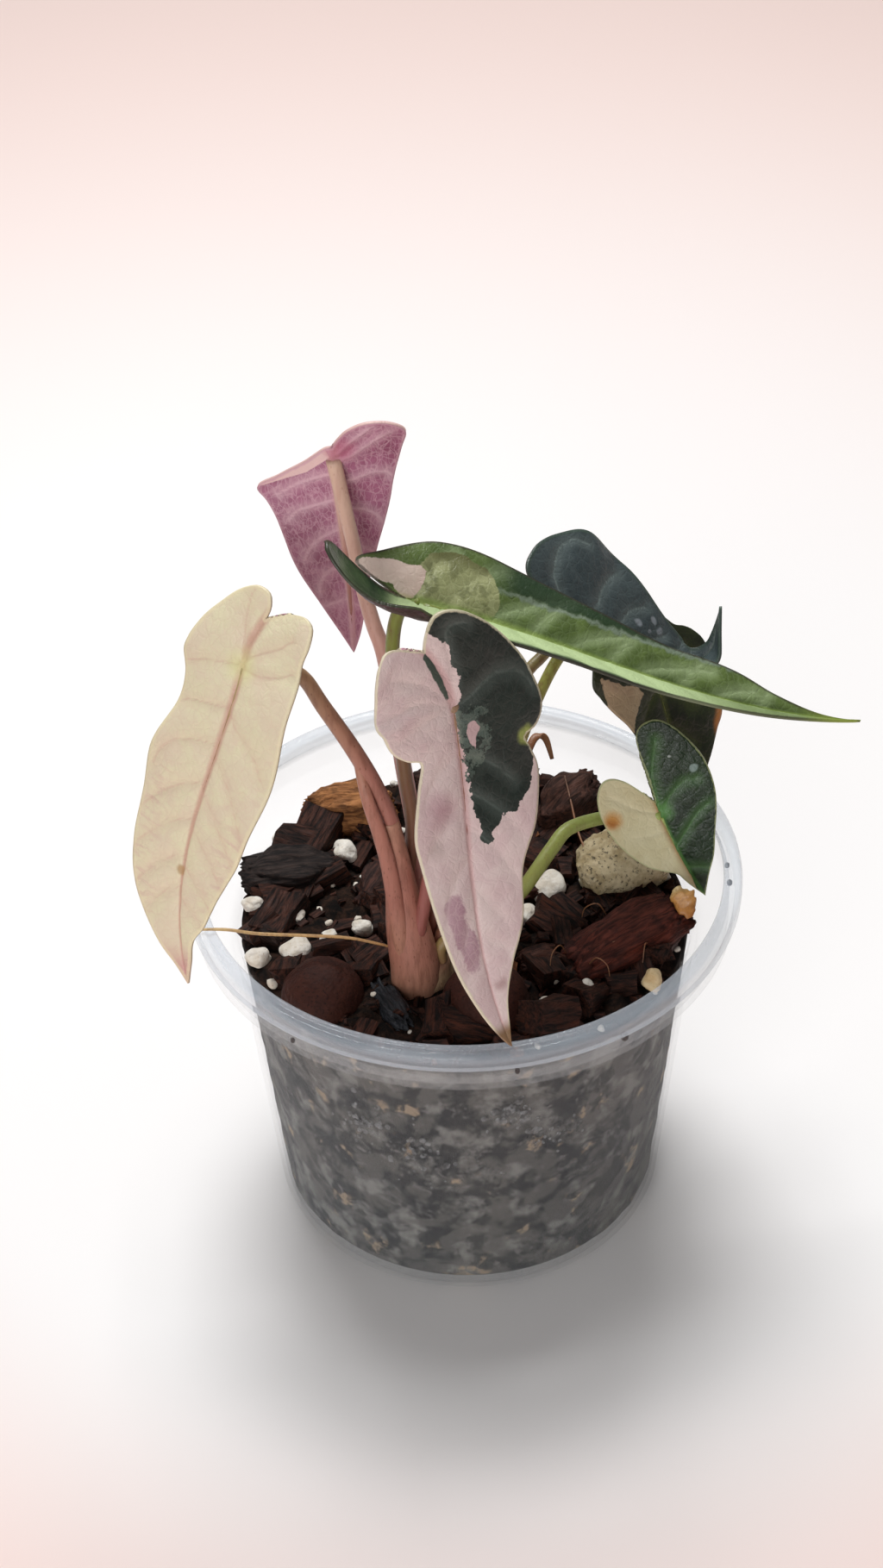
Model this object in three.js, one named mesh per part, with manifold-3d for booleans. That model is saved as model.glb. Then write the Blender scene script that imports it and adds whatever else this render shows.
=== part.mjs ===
// Potted bambino alocasia: seven arrow-shaped leaves on fleshy stalks, rising from one short
// stem base, in a clear plastic tub filled with a chunky bark and perlite mix.
// Millimetres, +Z up, origin at the centre of the tub's flat underside. +X is to the viewer's
// right and +Y points away from the viewer.
import * as THREE from "three";
import { mergeVertices } from "three/addons/utils/BufferGeometryUtils.js";
import Module from "manifold-3d";

const wasm = await Module();
wasm.setup();

// Tub
const RIM_R = 50;
const RIM_TOP = 72.7;
const RIM_DEPTH = 3.6;
const LIP_R = 46.6;
const COLLAR_R = 48.6;
const LEDGE_Z = 64.1;
const BODY_TOP_R = 42.4;
const BODY_TOP_Z = 61.6;
const BODY_FOOT_R = 36.3;
const CORNER_R = 2.2;
const WALL = 0.8;
const TUB_SIDES = 40;

// Potting mix
const MIX_TOP = 61.8;
const MIX_SWELL = 1.1;
const MIX_SIDES = 32;
const GAP = 0.3;
const POCKET = 0.45;

// Stem base and stalks
const BASE_AT = [-7.5, -17];
const BASE_TOP = 66;
const BASE_FOOT = 52;
const BASE_R = 5;
const STALK_SIDES = 7;
const STALK_STEPS = 12;

// Leaf blades
const BLADE = 0.7;
const ALONG = 18;
const ACROSS = 3;
const FRAME_STEPS = 84;
const BACK_STEPS = 24;
const ROW_POWER = 1.8;

const deg = Math.PI / 180;
const v = (a) => new THREE.Vector3(a[0], a[1], a[2]);

// Each leaf: where its stalk joins the blade, the way the midrib sets off (heading, pitch,
// roll), its length from there to the tip, how it droops and bends, the turn of its tip
// (degrees, from, to), how its halves fold and curl, and its two margins as (across, along)
// points from the notch round the rear lobe to the tip. left and right are as seen from the
// upper side with the tip ahead. A fold or curl that changes is a list of (along, degrees).
const LEAVES = [
  {
    name: "leaf_cream", color: 0xd9cfa0,
    at: [-35, -22, 134.5], heading: -130, pitch: -65, roll: 0, length: 59.5, back: 19,
    droop: [15, 5], bend: [-53, 107], lobeBend: 52, tipUp: [0, 0, 1],
    fold: [8, 8], curl: [-10, -10], wave: [0.5, 0.5], lift: [0, 0], notch: -9.2,
    left: [[0, -9.2], [1.2, -11.2], [3, -15], [4.8, -17.6], [6.9, -18], [9.3, -14.7], [10.5, -8.9],
      [11.8, -1], [11.9, 5], [12.3, 11], [12.6, 19.5], [11.8, 27], [10.4, 34.5], [6.5, 46.5],
      [3, 51.5], [1.9, 55.5], [0, 59.5]],
    right: [[0, -9.2], [0.6, -11.2], [2.4, -12.6], [4.9, -11.7], [6.7, -9.4], [8.3, -6.3], [10.3, -2.9],
      [11.7, 1], [10.4, 6], [10.3, 12], [12.3, 21.3], [11.7, 30], [10.8, 38], [9.4, 45.2], [5.1, 52],
      [1.8, 56], [0, 59.5]],
    stalk: [[-34.9, -21.9, 134.4], [-30.3, -18.5, 131.8], [-26, -16.5, 127.9], [-22.8, -16, 121.2],
      [-18.1, -16, 111.9], [-14.3, -16.3, 102.9], [-11.8, -16.8, 93.9], [-10.9, -17.4, 83],
      [-10.9, -17.9, 70.5], [-10.9, -17.9, 66.35]],
    radius: [1.15, 1.2, 1.25, 1.35, 1.45, 1.5, 1.5, 1.35, 1.15, 1.1],
  },
  {
    name: "leaf_mauve", color: 0xa8637f,
    at: [-19.7, 0, 159.3], heading: 81, pitch: -70, roll: 0, length: 45.4, back: 16,
    droop: [26, 5], bend: [-4, 5], lobeBend: 0, tipUp: [0, 0, 1],
    fold: [10, 10], curl: [5, 5], wave: [0.4, 0.4], lift: [0, 0], notch: -3.2,
    left: [[0, -3.2], [1.6, -2.2], [5.7, 2.8], [10.5, 7.4], [14.6, 10.8], [13.4, 13.8], [12.2, 18],
      [11.2, 21.8], [8.7, 30], [4.8, 37], [2.2, 41.5], [0, 45.4]],
    right: [[0, -3.2], [1.2, -5.2], [3, -7.2], [6, -8.6], [9.8, -8.2], [12.3, -5.8], [11.2, -1],
      [9.6, 5], [8.4, 11], [6.8, 17], [4.8, 24], [3.4, 30], [1.6, 40], [0, 45.4]],
    stalk: [[-19.7, 0.1, 159.2], [-18.4, -1, 152.1], [-17, -1.5, 143.5], [-15.7, -2.2, 135.1],
      [-14.2, -3.5, 128.6], [-12.7, -4.6, 123.6], [-11.2, -6.5, 113.6], [-10.1, -8.2, 102.8],
      [-8.5, -10, 89.8], [-8.1, -12.2, 79], [-8.4, -13.6, 70.5], [-8.4, -13.6, 66.35]],
    radius: [1.05, 1, 1, 1.05, 1.1, 1.15, 1.2, 1.2, 1.2, 1.15, 1.1, 1.05],
  },
  {
    name: "leaf_green", color: 0x4f6b35,
    at: [-6.2, -12, 138.8], heading: 7, pitch: -22, roll: -6, length: 83, back: 20,
    droop: [35, -58], bend: [0, 0], lobeBend: 0, tipUp: [0, 0, 1],
    fold: [46, [[-20, -54], [-10, -47], [-3, -32], [5, -14], [11, 2], [25, 4], [83, 4]]],
    curl: [-14, [[-20, 100], [-10, 114], [-3, 108], [5, 62], [11, 20], [25, 16], [83, 16]]],
    wave: [0.3, 0.3], lift: [2, 11], notch: -3,
    left: [[0, -3], [1.8, -8], [4.2, -12.2], [7.4, -7.5], [10.3, -2], [11.5, 3], [11.3, 11],
      [9.9, 21.5], [8, 33], [6.5, 45.5], [6.3, 53], [5.2, 60], [2.9, 67], [0.7, 75.5], [0, 83]],
    right: [[0, -3], [0.4, -6], [0.4, -10], [0.8, -14], [2.4, -18.4], [5.4, -20.4], [8, -18], [10, -11],
      [11.2, -4], [9.2, 4], [7.6, 14], [7.9, 26], [7.2, 38], [5.6, 50], [3.4, 62], [1.4, 73], [0, 83]],
    stalk: [[-6.2, -12, 138.7], [-8.4, -11.5, 138], [-9.9, -11.2, 136.3], [-10.9, -11, 131.3],
      [-11.1, -11, 124.2], [-10.5, -11.6, 113.8], [-9.7, -12.6, 103.4], [-8.8, -13.6, 92.8],
      [-10.4, -15, 78], [-10.5, -15.2, 70.5], [-10.5, -15.2, 66.35]],
    radius: [1.05, 1.1, 1.15, 1.2, 1.2, 1.2, 1.2, 1.2, 1.15, 1.1, 1.05],
  },
  {
    name: "leaf_centre", color: 0xc9a7a8,
    at: [-1.5, -27, 129], heading: -57, pitch: -74, roll: 0, length: 58, back: 19,
    droop: [-40, 5], bend: [-59, 70], lobeBend: -52, tipUp: [0, 0, 1],
    fold: [10, 10], curl: [-12, -12], wave: [0.4, 0.4], lift: [0, 0], notch: -11.5,
    left: [[0, -11.5], [1.4, -12.8], [4, -14], [6.4, -13.8], [9.2, -11.2], [12.8, -5.1], [15.2, -0.6],
      [16, 3.8], [14.4, 6.8], [12, 8], [13, 10], [14.5, 14], [12.8, 21], [9.6, 28], [8.4, 37],
      [4.6, 45], [2.4, 50], [1, 55], [0, 58]],
    right: [[0, -11.5], [1.3, -13.7], [2.4, -16.7], [3.9, -18.8], [6.6, -19], [10.2, -16.8], [13, -11.1],
      [14.5, -4], [13.1, 3.6], [10.3, 6.7], [7.7, 8], [8.8, 12.8], [10.4, 20.6], [9.3, 27],
      [6.6, 40.5], [3.6, 50], [1.3, 55.5], [0, 58]],
    stalk: [[-1.5, -27, 129], [-1.8, -25.2, 125.8], [-2.8, -22, 116.2], [-4, -19.8, 103.5],
      [-5.6, -19.4, 90.3], [-7.6, -20, 77.5], [-8.7, -20.3, 70.5], [-8.7, -20.3, 66.35]],
    radius: [1.1, 1.15, 1.2, 1.2, 1.2, 1.2, 1.1, 1.05],
  },
  {
    name: "leaf_dark", color: 0x3d4a4a,
    at: [18.9, 12, 119.9], heading: 16, pitch: -38, roll: -5, length: 43, back: 16,
    droop: [0, 0], bend: [0, 0], lobeBend: 0, tipUp: [124, 27, 36.5],
    fold: [42, 14], curl: [-8, -8], wave: [0.3, 0.3], lift: [0, 0], notch: -3.5,
    left: [[0, -3.5], [2.2, -8.6], [4.6, -9.8], [7.6, -8.8], [10.4, -7], [13.6, -3.6], [16, 0.6],
      [16.8, 4.6], [16.2, 9], [14.2, 13.2], [11, 17.5], [7.8, 22], [5.4, 26], [3, 30], [1.8, 34],
      [0.7, 38.5], [0, 43]],
    right: [[0, -3.5], [1.5, -8], [4, -10], [8, -8], [11, -4], [12.2, 1], [12, 7], [10.4, 13], [8, 19],
      [5.8, 25], [5.2, 31], [4.4, 35.5], [2.1, 39.5], [0, 43]],
    stalk: [[18.9, 12, 119.9], [17.8, 10, 117.3], [14.8, 6.5, 114.4], [11.8, 3.5, 112.9],
      [7.7, 0.5, 107.6], [3.7, -3, 99.1], [0.2, -7, 90.9], [-3.4, -11, 81.1], [-5.9, -13.9, 70.5],
      [-5.9, -13.9, 66.35]],
    radius: [1, 1, 1.05, 1.05, 1.1, 1.15, 1.2, 1.2, 1.1, 1.05],
  },
  {
    name: "leaf_back", color: 0x2f3624,
    at: [34.4, 25.5, 100.1], heading: -58, pitch: -61, roll: -5, length: 31, back: 14,
    droop: [0, 0], bend: [0, 0], lobeBend: 0, tipUp: [0, 0, 1],
    fold: [10, 10], curl: [-6, -6], wave: [0.3, 0.3], lift: [0, 0], notch: -3,
    left: [[0, -3], [1.5, -6.5], [4, -6], [6.4, -3.2], [8.3, -2.2], [10, -0.7], [11.4, 2], [12.2, 8],
      [11.2, 15], [9.3, 18], [7.2, 21], [5, 24], [2.4, 27.8], [0, 31]],
    right: [[0, -3], [2.5, -8], [7, -8.5], [11.5, -5], [14.8, 0.7], [13.4, 4.2], [11.5, 7.8], [9.4, 11],
      [7.5, 15], [5.5, 20], [3.5, 24.5], [1.6, 28.2], [0, 31]],
    stalk: [[34.4, 25.5, 100], [31.3, 24.5, 103.8], [26.4, 20.5, 108.5], [21.1, 15.5, 111],
      [17.4, 11, 109.9], [13.9, 6.5, 105.5], [10.4, 2, 98.8], [6.3, -3.5, 89.8], [1.4, -9.6, 80.4],
      [-4.2, -15.9, 70.5], [-4.2, -15.9, 66.35]],
    radius: [0.95, 0.95, 1, 1, 1.05, 1.05, 1.1, 1.15, 1.15, 1.1, 1.05],
  },
  {
    name: "leaf_small", color: 0x2c4a33,
    at: [35.8, 6, 78], heading: -42, pitch: -61, roll: 40, length: 17.6, back: 19,
    droop: [0, 0], bend: [12, 12], lobeBend: 0, tipUp: [0, 0, 1],
    fold: [12, 12], curl: [-5, -5], wave: [0, 0], lift: [0, 0], notch: -2.6,
    left: [[0, -2.6], [0.6, -8], [0.7, -12], [1.2, -15.5], [2.9, -17.3], [5.8, -17.4], [8, -15.3],
      [9.9, -11.6], [11.1, -7.5], [11.1, -2.5], [9.9, 2.2], [7.9, 6.6], [5.6, 11], [2.7, 14.4], [0, 17.6]],
    right: [[0, -2.6], [2, -6.2], [3.9, -8.9], [6, -10.4], [7.9, -10.2], [9.6, -8], [10.3, -4.4], [9.8, -0.2],
      [8.4, 3.5], [6.4, 7], [4.3, 9.2], [2.2, 11.2], [1.3, 14], [0, 17.6]],
    stalk: [[35.8, 6.2, 77.8], [30.8, 6.9, 77.5], [24.8, 5.8, 77.8], [18.9, 1.4, 79.2], [15.7, -2.2, 77.6],
      [12.9, -5.6, 75.6], [9.6, -8.4, 72.6], [4.6, -12.6, 71.6], [-0.6, -16.6, 71.8],
      [-4.3, -18.5, 69.8], [-4.3, -18.5, 66.35]],
    radius: [1, 1.1, 1.2, 1.25, 1.3, 1.3, 1.3, 1.25, 1.2, 1.1, 1.05],
  },
];

// Pieces lying in the mix: centre, half sizes, turn about Z, tilt, and seed of the roughness
const CHIPS = [
  { name: "bark_red", at: [28.8, -12.2, 64.4], half: [11.8, 6.2, 4.7], turn: 29, tilt: 11, seed: 1, color: 0x46231b },
  { name: "bark_black", at: [-32.2, 10.4, 63.4], half: [8.6, 5.6, 3.4], turn: 12, tilt: -5, seed: 2, color: 0x1c1413 },
  { name: "bark_orange", at: [-20.8, 26, 65], half: [8.8, 4.8, 5], turn: -14, tilt: 9, seed: 3, color: 0x7d4a25 },
  { name: "bark_back", at: [20.4, 24.8, 65.6], half: [6.8, 4.6, 5.6], turn: 35, tilt: 22, seed: 4, color: 0x33201b },
  { name: "bark_middle", at: [-14.5, 6.5, 63], half: [6, 4.2, 3.2], turn: 60, tilt: 8, seed: 5, color: 0x24171a },
  { name: "bark_left", at: [-34.5, -6.6, 62.4], half: [3.2, 2.4, 2.2], turn: -40, tilt: -6, seed: 6, color: 0x20140f },
  { name: "bark_far", at: [-2, 33, 64], half: [7.4, 4, 3.8], turn: 8, tilt: -8, seed: 7, color: 0x2b1a15 },
  { name: "bark_right", at: [13, -15.6, 62.6], half: [4, 3, 2.8], turn: 20, tilt: 6, seed: 8, color: 0x2a1613 },
  { name: "charcoal", at: [-13.3, -25.8, 62.2], half: [6.4, 2.4, 2.4], turn: -64, tilt: 4, seed: 9, color: 0x17181b },
  { name: "pumice", at: [29.2, 8.7, 64.8], half: [9.2, 7, 7.2], turn: 20, tilt: 12, seed: 10, color: 0xc9bfa9, round: 1 },
  { name: "clay_ball_left", at: [-25.4, -21.6, 61.4], half: [7.3, 7.2, 7], turn: 0, tilt: 0, seed: 11, color: 0x3b2420, round: 2 },
  { name: "clay_ball_front", at: [3.2, -26.4, 63.2], half: [7.8, 7.7, 7.6], turn: 40, tilt: 0, seed: 12, color: 0x3b231e, round: 2 },
];

// Perlite grains: centre and size, each a small rough pebble
const GRAINS = [
  [-38.2, 1.9, 62.8, 2], [-37, -12.4, 62.8, 2.2], [-30, -11.8, 63.2, 3], [-21.8, 15.8, 63.2, 2.4],
  [-30.6, -1.6, 62.8, 1.8], [-18.4, -5.4, 62.8, 1.9], [-24.4, -7.6, 62.6, 1.7], [15.6, 3.6, 63.6, 3.2],
  [11.2, -3.4, 63.2, 2.2], [8.8, -9.6, 62.8, 1.5], [14.4, -26.8, 62.6, 2], [20.8, -22.6, 62.6, 1.7],
  [32.6, -21.4, 63, 2.2], [-5.8, -32.4, 62.6, 1.8], [4.4, 13.4, 62.8, 2.4], [-32.6, 21, 62.8, 2.3],
];

// A loose straw lying from the rim across to the stalks
const STRAW = [
  [-47, -16.6, 73.4], [-42, -16.8, 73.4], [-36.3, -17.2, 72.6], [-28.7, -17.6, 72.3], [-21, -18.6, 72.4],
  [-15.6, -19, 71.2], [-12.3, -18.9, 69.8],
];
const STRAW_R = 0.3;

// One step of a smooth line through four values
function smooth(p0, p1, p2, p3, t) {
  const a = 2 * p1;
  const b = p2 - p0;
  const c = 2 * p0 - 5 * p1 + 4 * p2 - p3;
  const d = 3 * p1 - p0 - 3 * p2 + p3;
  return 0.5 * (a + b * t + c * t * t + d * t * t * t);
}

// A smooth line through listed values of any width, at a share u of the list
function along(list, u) {
  const n = list.length - 1;
  const f = Math.min(Math.max(u, 0), 1) * n;
  const i = Math.min(Math.floor(f), n - 1);
  const t = f - i;
  const wide = Array.isArray(list[0]);
  const get = (k, c) => {
    const kk = Math.min(Math.max(k, 0), n);
    return wide ? list[kk][c] : list[kk];
  };
  const one = (c) => smooth(get(i - 1, c), get(i, c), get(i + 1, c), get(i + 2, c), t);
  if (!wide) return one(0);
  return list[0].map((_, c) => one(c));
}

// Equally spaced points on a margin
function spaced(list, n) {
  const fine = [];
  const m = 400;
  for (let i = 0; i <= m; i++) fine.push(along(list, i / m));
  const run = [0];
  for (let i = 1; i <= m; i++) {
    run.push(run[i - 1] + Math.hypot(fine[i][0] - fine[i - 1][0], fine[i][1] - fine[i - 1][1]));
  }
  const out = [];
  let k = 0;
  for (let i = 0; i <= n; i++) {
    const want = (run[m] * i) / n;
    while (k < m - 1 && run[k + 1] < want) k++;
    const t = (want - run[k]) / Math.max(run[k + 1] - run[k], 1e-9);
    out.push([fine[k][0] + (fine[k + 1][0] - fine[k][0]) * t, fine[k][1] + (fine[k + 1][1] - fine[k][1]) * t]);
  }
  return out;
}

// The midrib of a leaf as a list of points, directions and upward normals, from the rear
// lobes' end to the tip
function midrib(leaf) {
  const h = leaf.heading * deg;
  const p = leaf.pitch * deg;
  const dir = new THREE.Vector3(Math.cos(p) * Math.cos(h), Math.cos(p) * Math.sin(h), Math.sin(p));
  const nor = new THREE.Vector3(0, 0, 1).addScaledVector(dir, -dir.z).normalize();
  nor.applyAxisAngle(dir, leaf.roll * deg);
  const ahead = [{ y: 0, p: v(leaf.at), t: dir.clone(), n: nor.clone() }];
  let t = dir.clone();
  let n = nor.clone();
  let q = v(leaf.at);
  for (let i = 0; i < FRAME_STEPS; i++) {
    const u = (i + 0.5) / FRAME_STEPS;
    const [rise, from, to] = leaf.tipUp;
    const y = u * leaf.length;
    const up = y > from && y < to ? (rise * leaf.length) / (to - from) : 0;
    const drop = ((leaf.droop[0] + (leaf.droop[1] - leaf.droop[0]) * u - up) * deg) / FRAME_STEPS;
    const side = ((leaf.bend[0] + (leaf.bend[1] - leaf.bend[0]) * u) * deg) / FRAME_STEPS;
    const a = t.clone().cross(n).normalize();
    t.applyAxisAngle(a, -drop);
    n.applyAxisAngle(a, -drop);
    t.applyAxisAngle(n, side).normalize();
    n.addScaledVector(t, -n.dot(t)).normalize();
    q = q.clone().addScaledVector(t, leaf.length / FRAME_STEPS);
    ahead.push({ y: ((i + 1) * leaf.length) / FRAME_STEPS, p: q, t: t.clone(), n: n.clone() });
  }
  t = dir.clone();
  n = nor.clone();
  q = v(leaf.at);
  const behind = [];
  for (let i = 0; i < BACK_STEPS; i++) {
    t.applyAxisAngle(n, (-leaf.lobeBend * deg) / BACK_STEPS).normalize();
    q = q.clone().addScaledVector(t, -leaf.back / BACK_STEPS);
    behind.unshift({ y: (-(i + 1) * leaf.back) / BACK_STEPS, p: q, t: t.clone(), n: n.clone() });
  }
  return behind.concat(ahead);
}

// The midrib's frame at y along it
function frameAt(rib, y) {
  let i = 0;
  while (i < rib.length - 2 && rib[i + 1].y < y) i++;
  const s = Math.min(Math.max((y - rib[i].y) / (rib[i + 1].y - rib[i].y), 0), 1);
  const p = rib[i].p.clone().lerp(rib[i + 1].p, s);
  const t = rib[i].t.clone().lerp(rib[i + 1].t, s).normalize();
  const n = rib[i].n.clone().lerp(rib[i + 1].n, s).normalize();
  return { p, t, n, a: t.clone().cross(n) };
}

// A fold or curl at y along the leaf
function bendAt(value, y) {
  if (!Array.isArray(value)) return value;
  let i = 0;
  while (i < value.length - 2 && value[i + 1][0] < y) i++;
  const [y0, d0] = value[i];
  const [y1, d1] = value[i + 1];
  return d0 + (d1 - d0) * Math.min(Math.max((y - y0) / (y1 - y0), 0), 1);
}

// A point of the blade, x across (left is negative) and y along
function bladePoint(leaf, rib, x, y) {
  const f = frameAt(rib, y);
  const k = x < 0 ? 0 : 1;
  const a = Math.abs(x);
  const fold = bendAt(leaf.fold[k], y) * deg;
  const c = (bendAt(leaf.curl[k], y) * deg) / 12;
  const flat = (Math.sin(fold + c * a) - Math.sin(fold)) / c;
  let rise = (Math.cos(fold) - Math.cos(fold + c * a)) / c;
  rise += leaf.wave[k] * (a / 12) ** 2 * Math.sin((6 * Math.PI * y) / leaf.length + k * 1.7);
  rise += leaf.lift[k] * (Math.max(0, -y) / leaf.back) ** 2;
  return f.p.addScaledVector(f.a, Math.sign(x) * flat).addScaledVector(f.n, rise);
}

// A closed solid from a geometry, and back
function solidOf(geometry) {
  const g = geometry.clone();
  g.deleteAttribute("normal");
  g.deleteAttribute("uv");
  const m = mergeVertices(g, 1e-4);
  const index = m.index.array;
  const keep = [];
  for (let i = 0; i < index.length; i += 3) {
    const [a, b, c] = [index[i], index[i + 1], index[i + 2]];
    if (a !== b && b !== c && c !== a) keep.push(a, b, c);
  }
  const mesh = new wasm.Mesh({
    numProp: 3,
    vertProperties: new Float32Array(m.attributes.position.array),
    triVerts: new Uint32Array(keep),
  });
  mesh.merge();
  return new wasm.Manifold(mesh);
}

function geometryOf(solid) {
  const mesh = solid.getMesh();
  const g = new THREE.BufferGeometry();
  g.setAttribute("position", new THREE.BufferAttribute(new Float32Array(mesh.vertProperties), 3));
  g.setIndex(new THREE.BufferAttribute(new Uint32Array(mesh.triVerts), 1));
  g.computeVertexNormals();
  return g;
}

// The blade: rows run from the midrib out to the margin, fanned into the rear lobes, and both
// faces are split into triangles alike
function bladeGeometry(leaf) {
  const rib = midrib(leaf);
  const margins = [spaced(leaf.left, ALONG), spaced(leaf.right, ALONG)];
  const points = [];
  const index = [];
  const cols = 2 * ACROSS;
  const place = (i, j, face) => {
    const k = j < ACROSS ? 0 : 1;
    const s = Math.abs(j - ACROSS) / ACROSS;
    const inner = leaf.notch + (leaf.length - leaf.notch) * (i / ALONG) ** ROW_POWER;
    const m = margins[k][i];
    const x = (k === 0 ? -1 : 1) * m[0] * s;
    const y = inner + (m[1] - inner) * s;
    const e = 0.2;
    const at = bladePoint(leaf, rib, x, y);
    const dx = bladePoint(leaf, rib, x + e, y).sub(bladePoint(leaf, rib, x - e, y));
    const dy = bladePoint(leaf, rib, x, y + e).sub(bladePoint(leaf, rib, x, y - e));
    const n = dx.cross(dy).normalize().negate();
    const f = frameAt(rib, y);
    if (n.dot(f.n) < 0) n.negate();
    return at.addScaledVector(n, (face * BLADE) / 2);
  };
  for (const face of [1, -1]) {
    for (let i = 0; i <= ALONG; i++) {
      for (let j = 0; j <= cols; j++) {
        const end = i === 0 || i === ALONG;
        points.push(...place(i, end ? ACROSS : j, face).toArray());
      }
    }
  }
  const at = (face, i, j) => face * (ALONG + 1) * (cols + 1) + i * (cols + 1) + j;
  const quad = (a, b, c, d) => index.push(a, b, c, a, c, d);
  for (let i = 0; i < ALONG; i++) {
    for (let j = 0; j < cols; j++) {
      quad(at(0, i, j), at(0, i, j + 1), at(0, i + 1, j + 1), at(0, i + 1, j));
      index.push(at(1, i, j), at(1, i + 1, j + 1), at(1, i, j + 1));
      index.push(at(1, i, j), at(1, i + 1, j), at(1, i + 1, j + 1));
    }
    quad(at(0, i, 0), at(0, i + 1, 0), at(1, i + 1, 0), at(1, i, 0));
    quad(at(1, i, cols), at(1, i + 1, cols), at(0, i + 1, cols), at(0, i, cols));
  }
  const g = new THREE.BufferGeometry();
  g.setAttribute("position", new THREE.BufferAttribute(new Float32Array(points), 3));
  g.setIndex(index);
  return g;
}

// A round stalk of changing thickness: a closed cylinder laid along a curve
function stalkGeometry(list, radius, sides, steps) {
  const curve = new THREE.CatmullRomCurve3(list.map(v));
  const frames = curve.computeFrenetFrames(steps, false);
  const g = new THREE.CylinderGeometry(1, 1, 1, sides, steps);
  const pos = g.attributes.position;
  for (let i = 0; i < pos.count; i++) {
    const k = Math.round((0.5 - pos.getY(i)) * steps);
    const u = k / steps;
    const r = along(radius, u);
    const c = curve.getPointAt(u);
    c.addScaledVector(frames.normals[k], pos.getX(i) * r);
    c.addScaledVector(frames.binormals[k], pos.getZ(i) * r);
    pos.setXYZ(i, c.x, c.y, c.z);
  }
  return g;
}

// Unevenness of a chip's surface
function rough(x, y, z, seed) {
  const a = Math.sin(x * 1.7 + seed * 2.1) * Math.sin(y * 1.9 + seed * 1.3);
  const b = Math.sin(z * 2.3 + seed * 0.7 + x * 0.9);
  return 0.6 * a + 0.4 * b;
}

// A rough chip or pebble, grown by an extra margin where it is used to press its pocket
function chipGeometry(chip, grow) {
  const round = chip.round || 0;
  const g = round
    ? new THREE.IcosahedronGeometry(1, round === 2 ? 3 : 2)
    : new THREE.BoxGeometry(2, 2, 2, 5, 3, 2);
  const pos = g.attributes.position;
  const push = round === 2 ? 0.012 : round === 1 ? 0.11 : 0.13;
  for (let i = 0; i < pos.count; i++) {
    const p = new THREE.Vector3().fromBufferAttribute(pos, i);
    const q = p.clone();
    if (!round) {
      const s = 1 - 0.16 * (q.x * q.x * q.y * q.y + q.y * q.y * q.z * q.z + q.z * q.z * q.x * q.x) / 1.5;
      p.multiplyScalar(s);
      p.y *= 1 - 0.22 * q.x * q.x;
      p.z *= 1 - 0.2 * q.x * q.x - 0.1 * q.y * q.y;
    }
    const f = 1 + push * rough(q.x * 2, q.y * 2, q.z * 2, chip.seed);
    p.multiplyScalar(f);
    p.set(p.x * (chip.half[0] + grow), p.y * (chip.half[1] + grow), p.z * (chip.half[2] + grow));
    pos.setXYZ(i, p.x, p.y, p.z);
  }
  g.rotateY(-chip.tilt * deg);
  g.rotateZ(chip.turn * deg);
  g.translate(chip.at[0], chip.at[1], chip.at[2]);
  return g;
}

// A perlite grain: a small rough pebble, each turned its own way
function grainGeometry(k, grow) {
  const [x, y, z, r] = GRAINS[k];
  const half = [r + grow, r * (0.8 + 0.05 * (k % 4)) + grow, r * 0.8 + grow];
  const g = new THREE.IcosahedronGeometry(1, 1);
  const pos = g.attributes.position;
  for (let i = 0; i < pos.count; i++) {
    const p = new THREE.Vector3().fromBufferAttribute(pos, i);
    const f = 1 + 0.14 * rough(p.x * 2, p.y * 2, p.z * 2, 20 + k);
    pos.setXYZ(i, p.x * f * half[0], p.y * f * half[1], p.z * f * half[2]);
  }
  g.rotateX(11 * (k % 5) * deg);
  g.rotateZ(37 * k * deg);
  g.translate(x, y, z);
  return g;
}

// The tub: one wall turned about the axis
function tubGeometry() {
  const p = [];
  const add = (r, z) => p.push(new THREE.Vector2(r, z));
  add(0, 0);
  add(BODY_FOOT_R - CORNER_R, 0);
  add(BODY_FOOT_R - CORNER_R * 0.3, CORNER_R * 0.3);
  add(BODY_FOOT_R, CORNER_R);
  add(BODY_TOP_R - 0.3, BODY_TOP_Z - 2);
  add(BODY_TOP_R + 0.6, BODY_TOP_Z - 0.2);
  add(COLLAR_R - 0.9, LEDGE_Z - 1);
  add(COLLAR_R, LEDGE_Z);
  add(COLLAR_R, RIM_TOP - RIM_DEPTH);
  add(RIM_R - 0.5, RIM_TOP - RIM_DEPTH);
  add(RIM_R, RIM_TOP - RIM_DEPTH + 0.5);
  add(RIM_R, RIM_TOP - 1);
  add(RIM_R - 0.4, RIM_TOP - 0.25);
  add(RIM_R - 1.2, RIM_TOP);
  add(LIP_R + 1, RIM_TOP);
  add(LIP_R, RIM_TOP - 0.6);
  add(LIP_R, RIM_TOP - 1.6);
  add(COLLAR_R - WALL - 0.1, RIM_TOP - 2.6);
  add(COLLAR_R - WALL, LEDGE_Z + 0.6);
  add(COLLAR_R - WALL - 0.9, LEDGE_Z - 0.2);
  add(BODY_TOP_R + 0.5 - WALL, BODY_TOP_Z + 0.7);
  add(BODY_TOP_R - 0.4 - WALL, BODY_TOP_Z - 1.4);
  add(BODY_FOOT_R - WALL, CORNER_R + 0.4);
  add(BODY_FOOT_R - WALL - 0.8, CORNER_R * 0.3 + WALL);
  add(BODY_FOOT_R - CORNER_R - 0.6, WALL);
  add(0, WALL);
  const g = new THREE.LatheGeometry(p, TUB_SIDES);
  g.rotateX(Math.PI / 2);
  return g;
}

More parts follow.
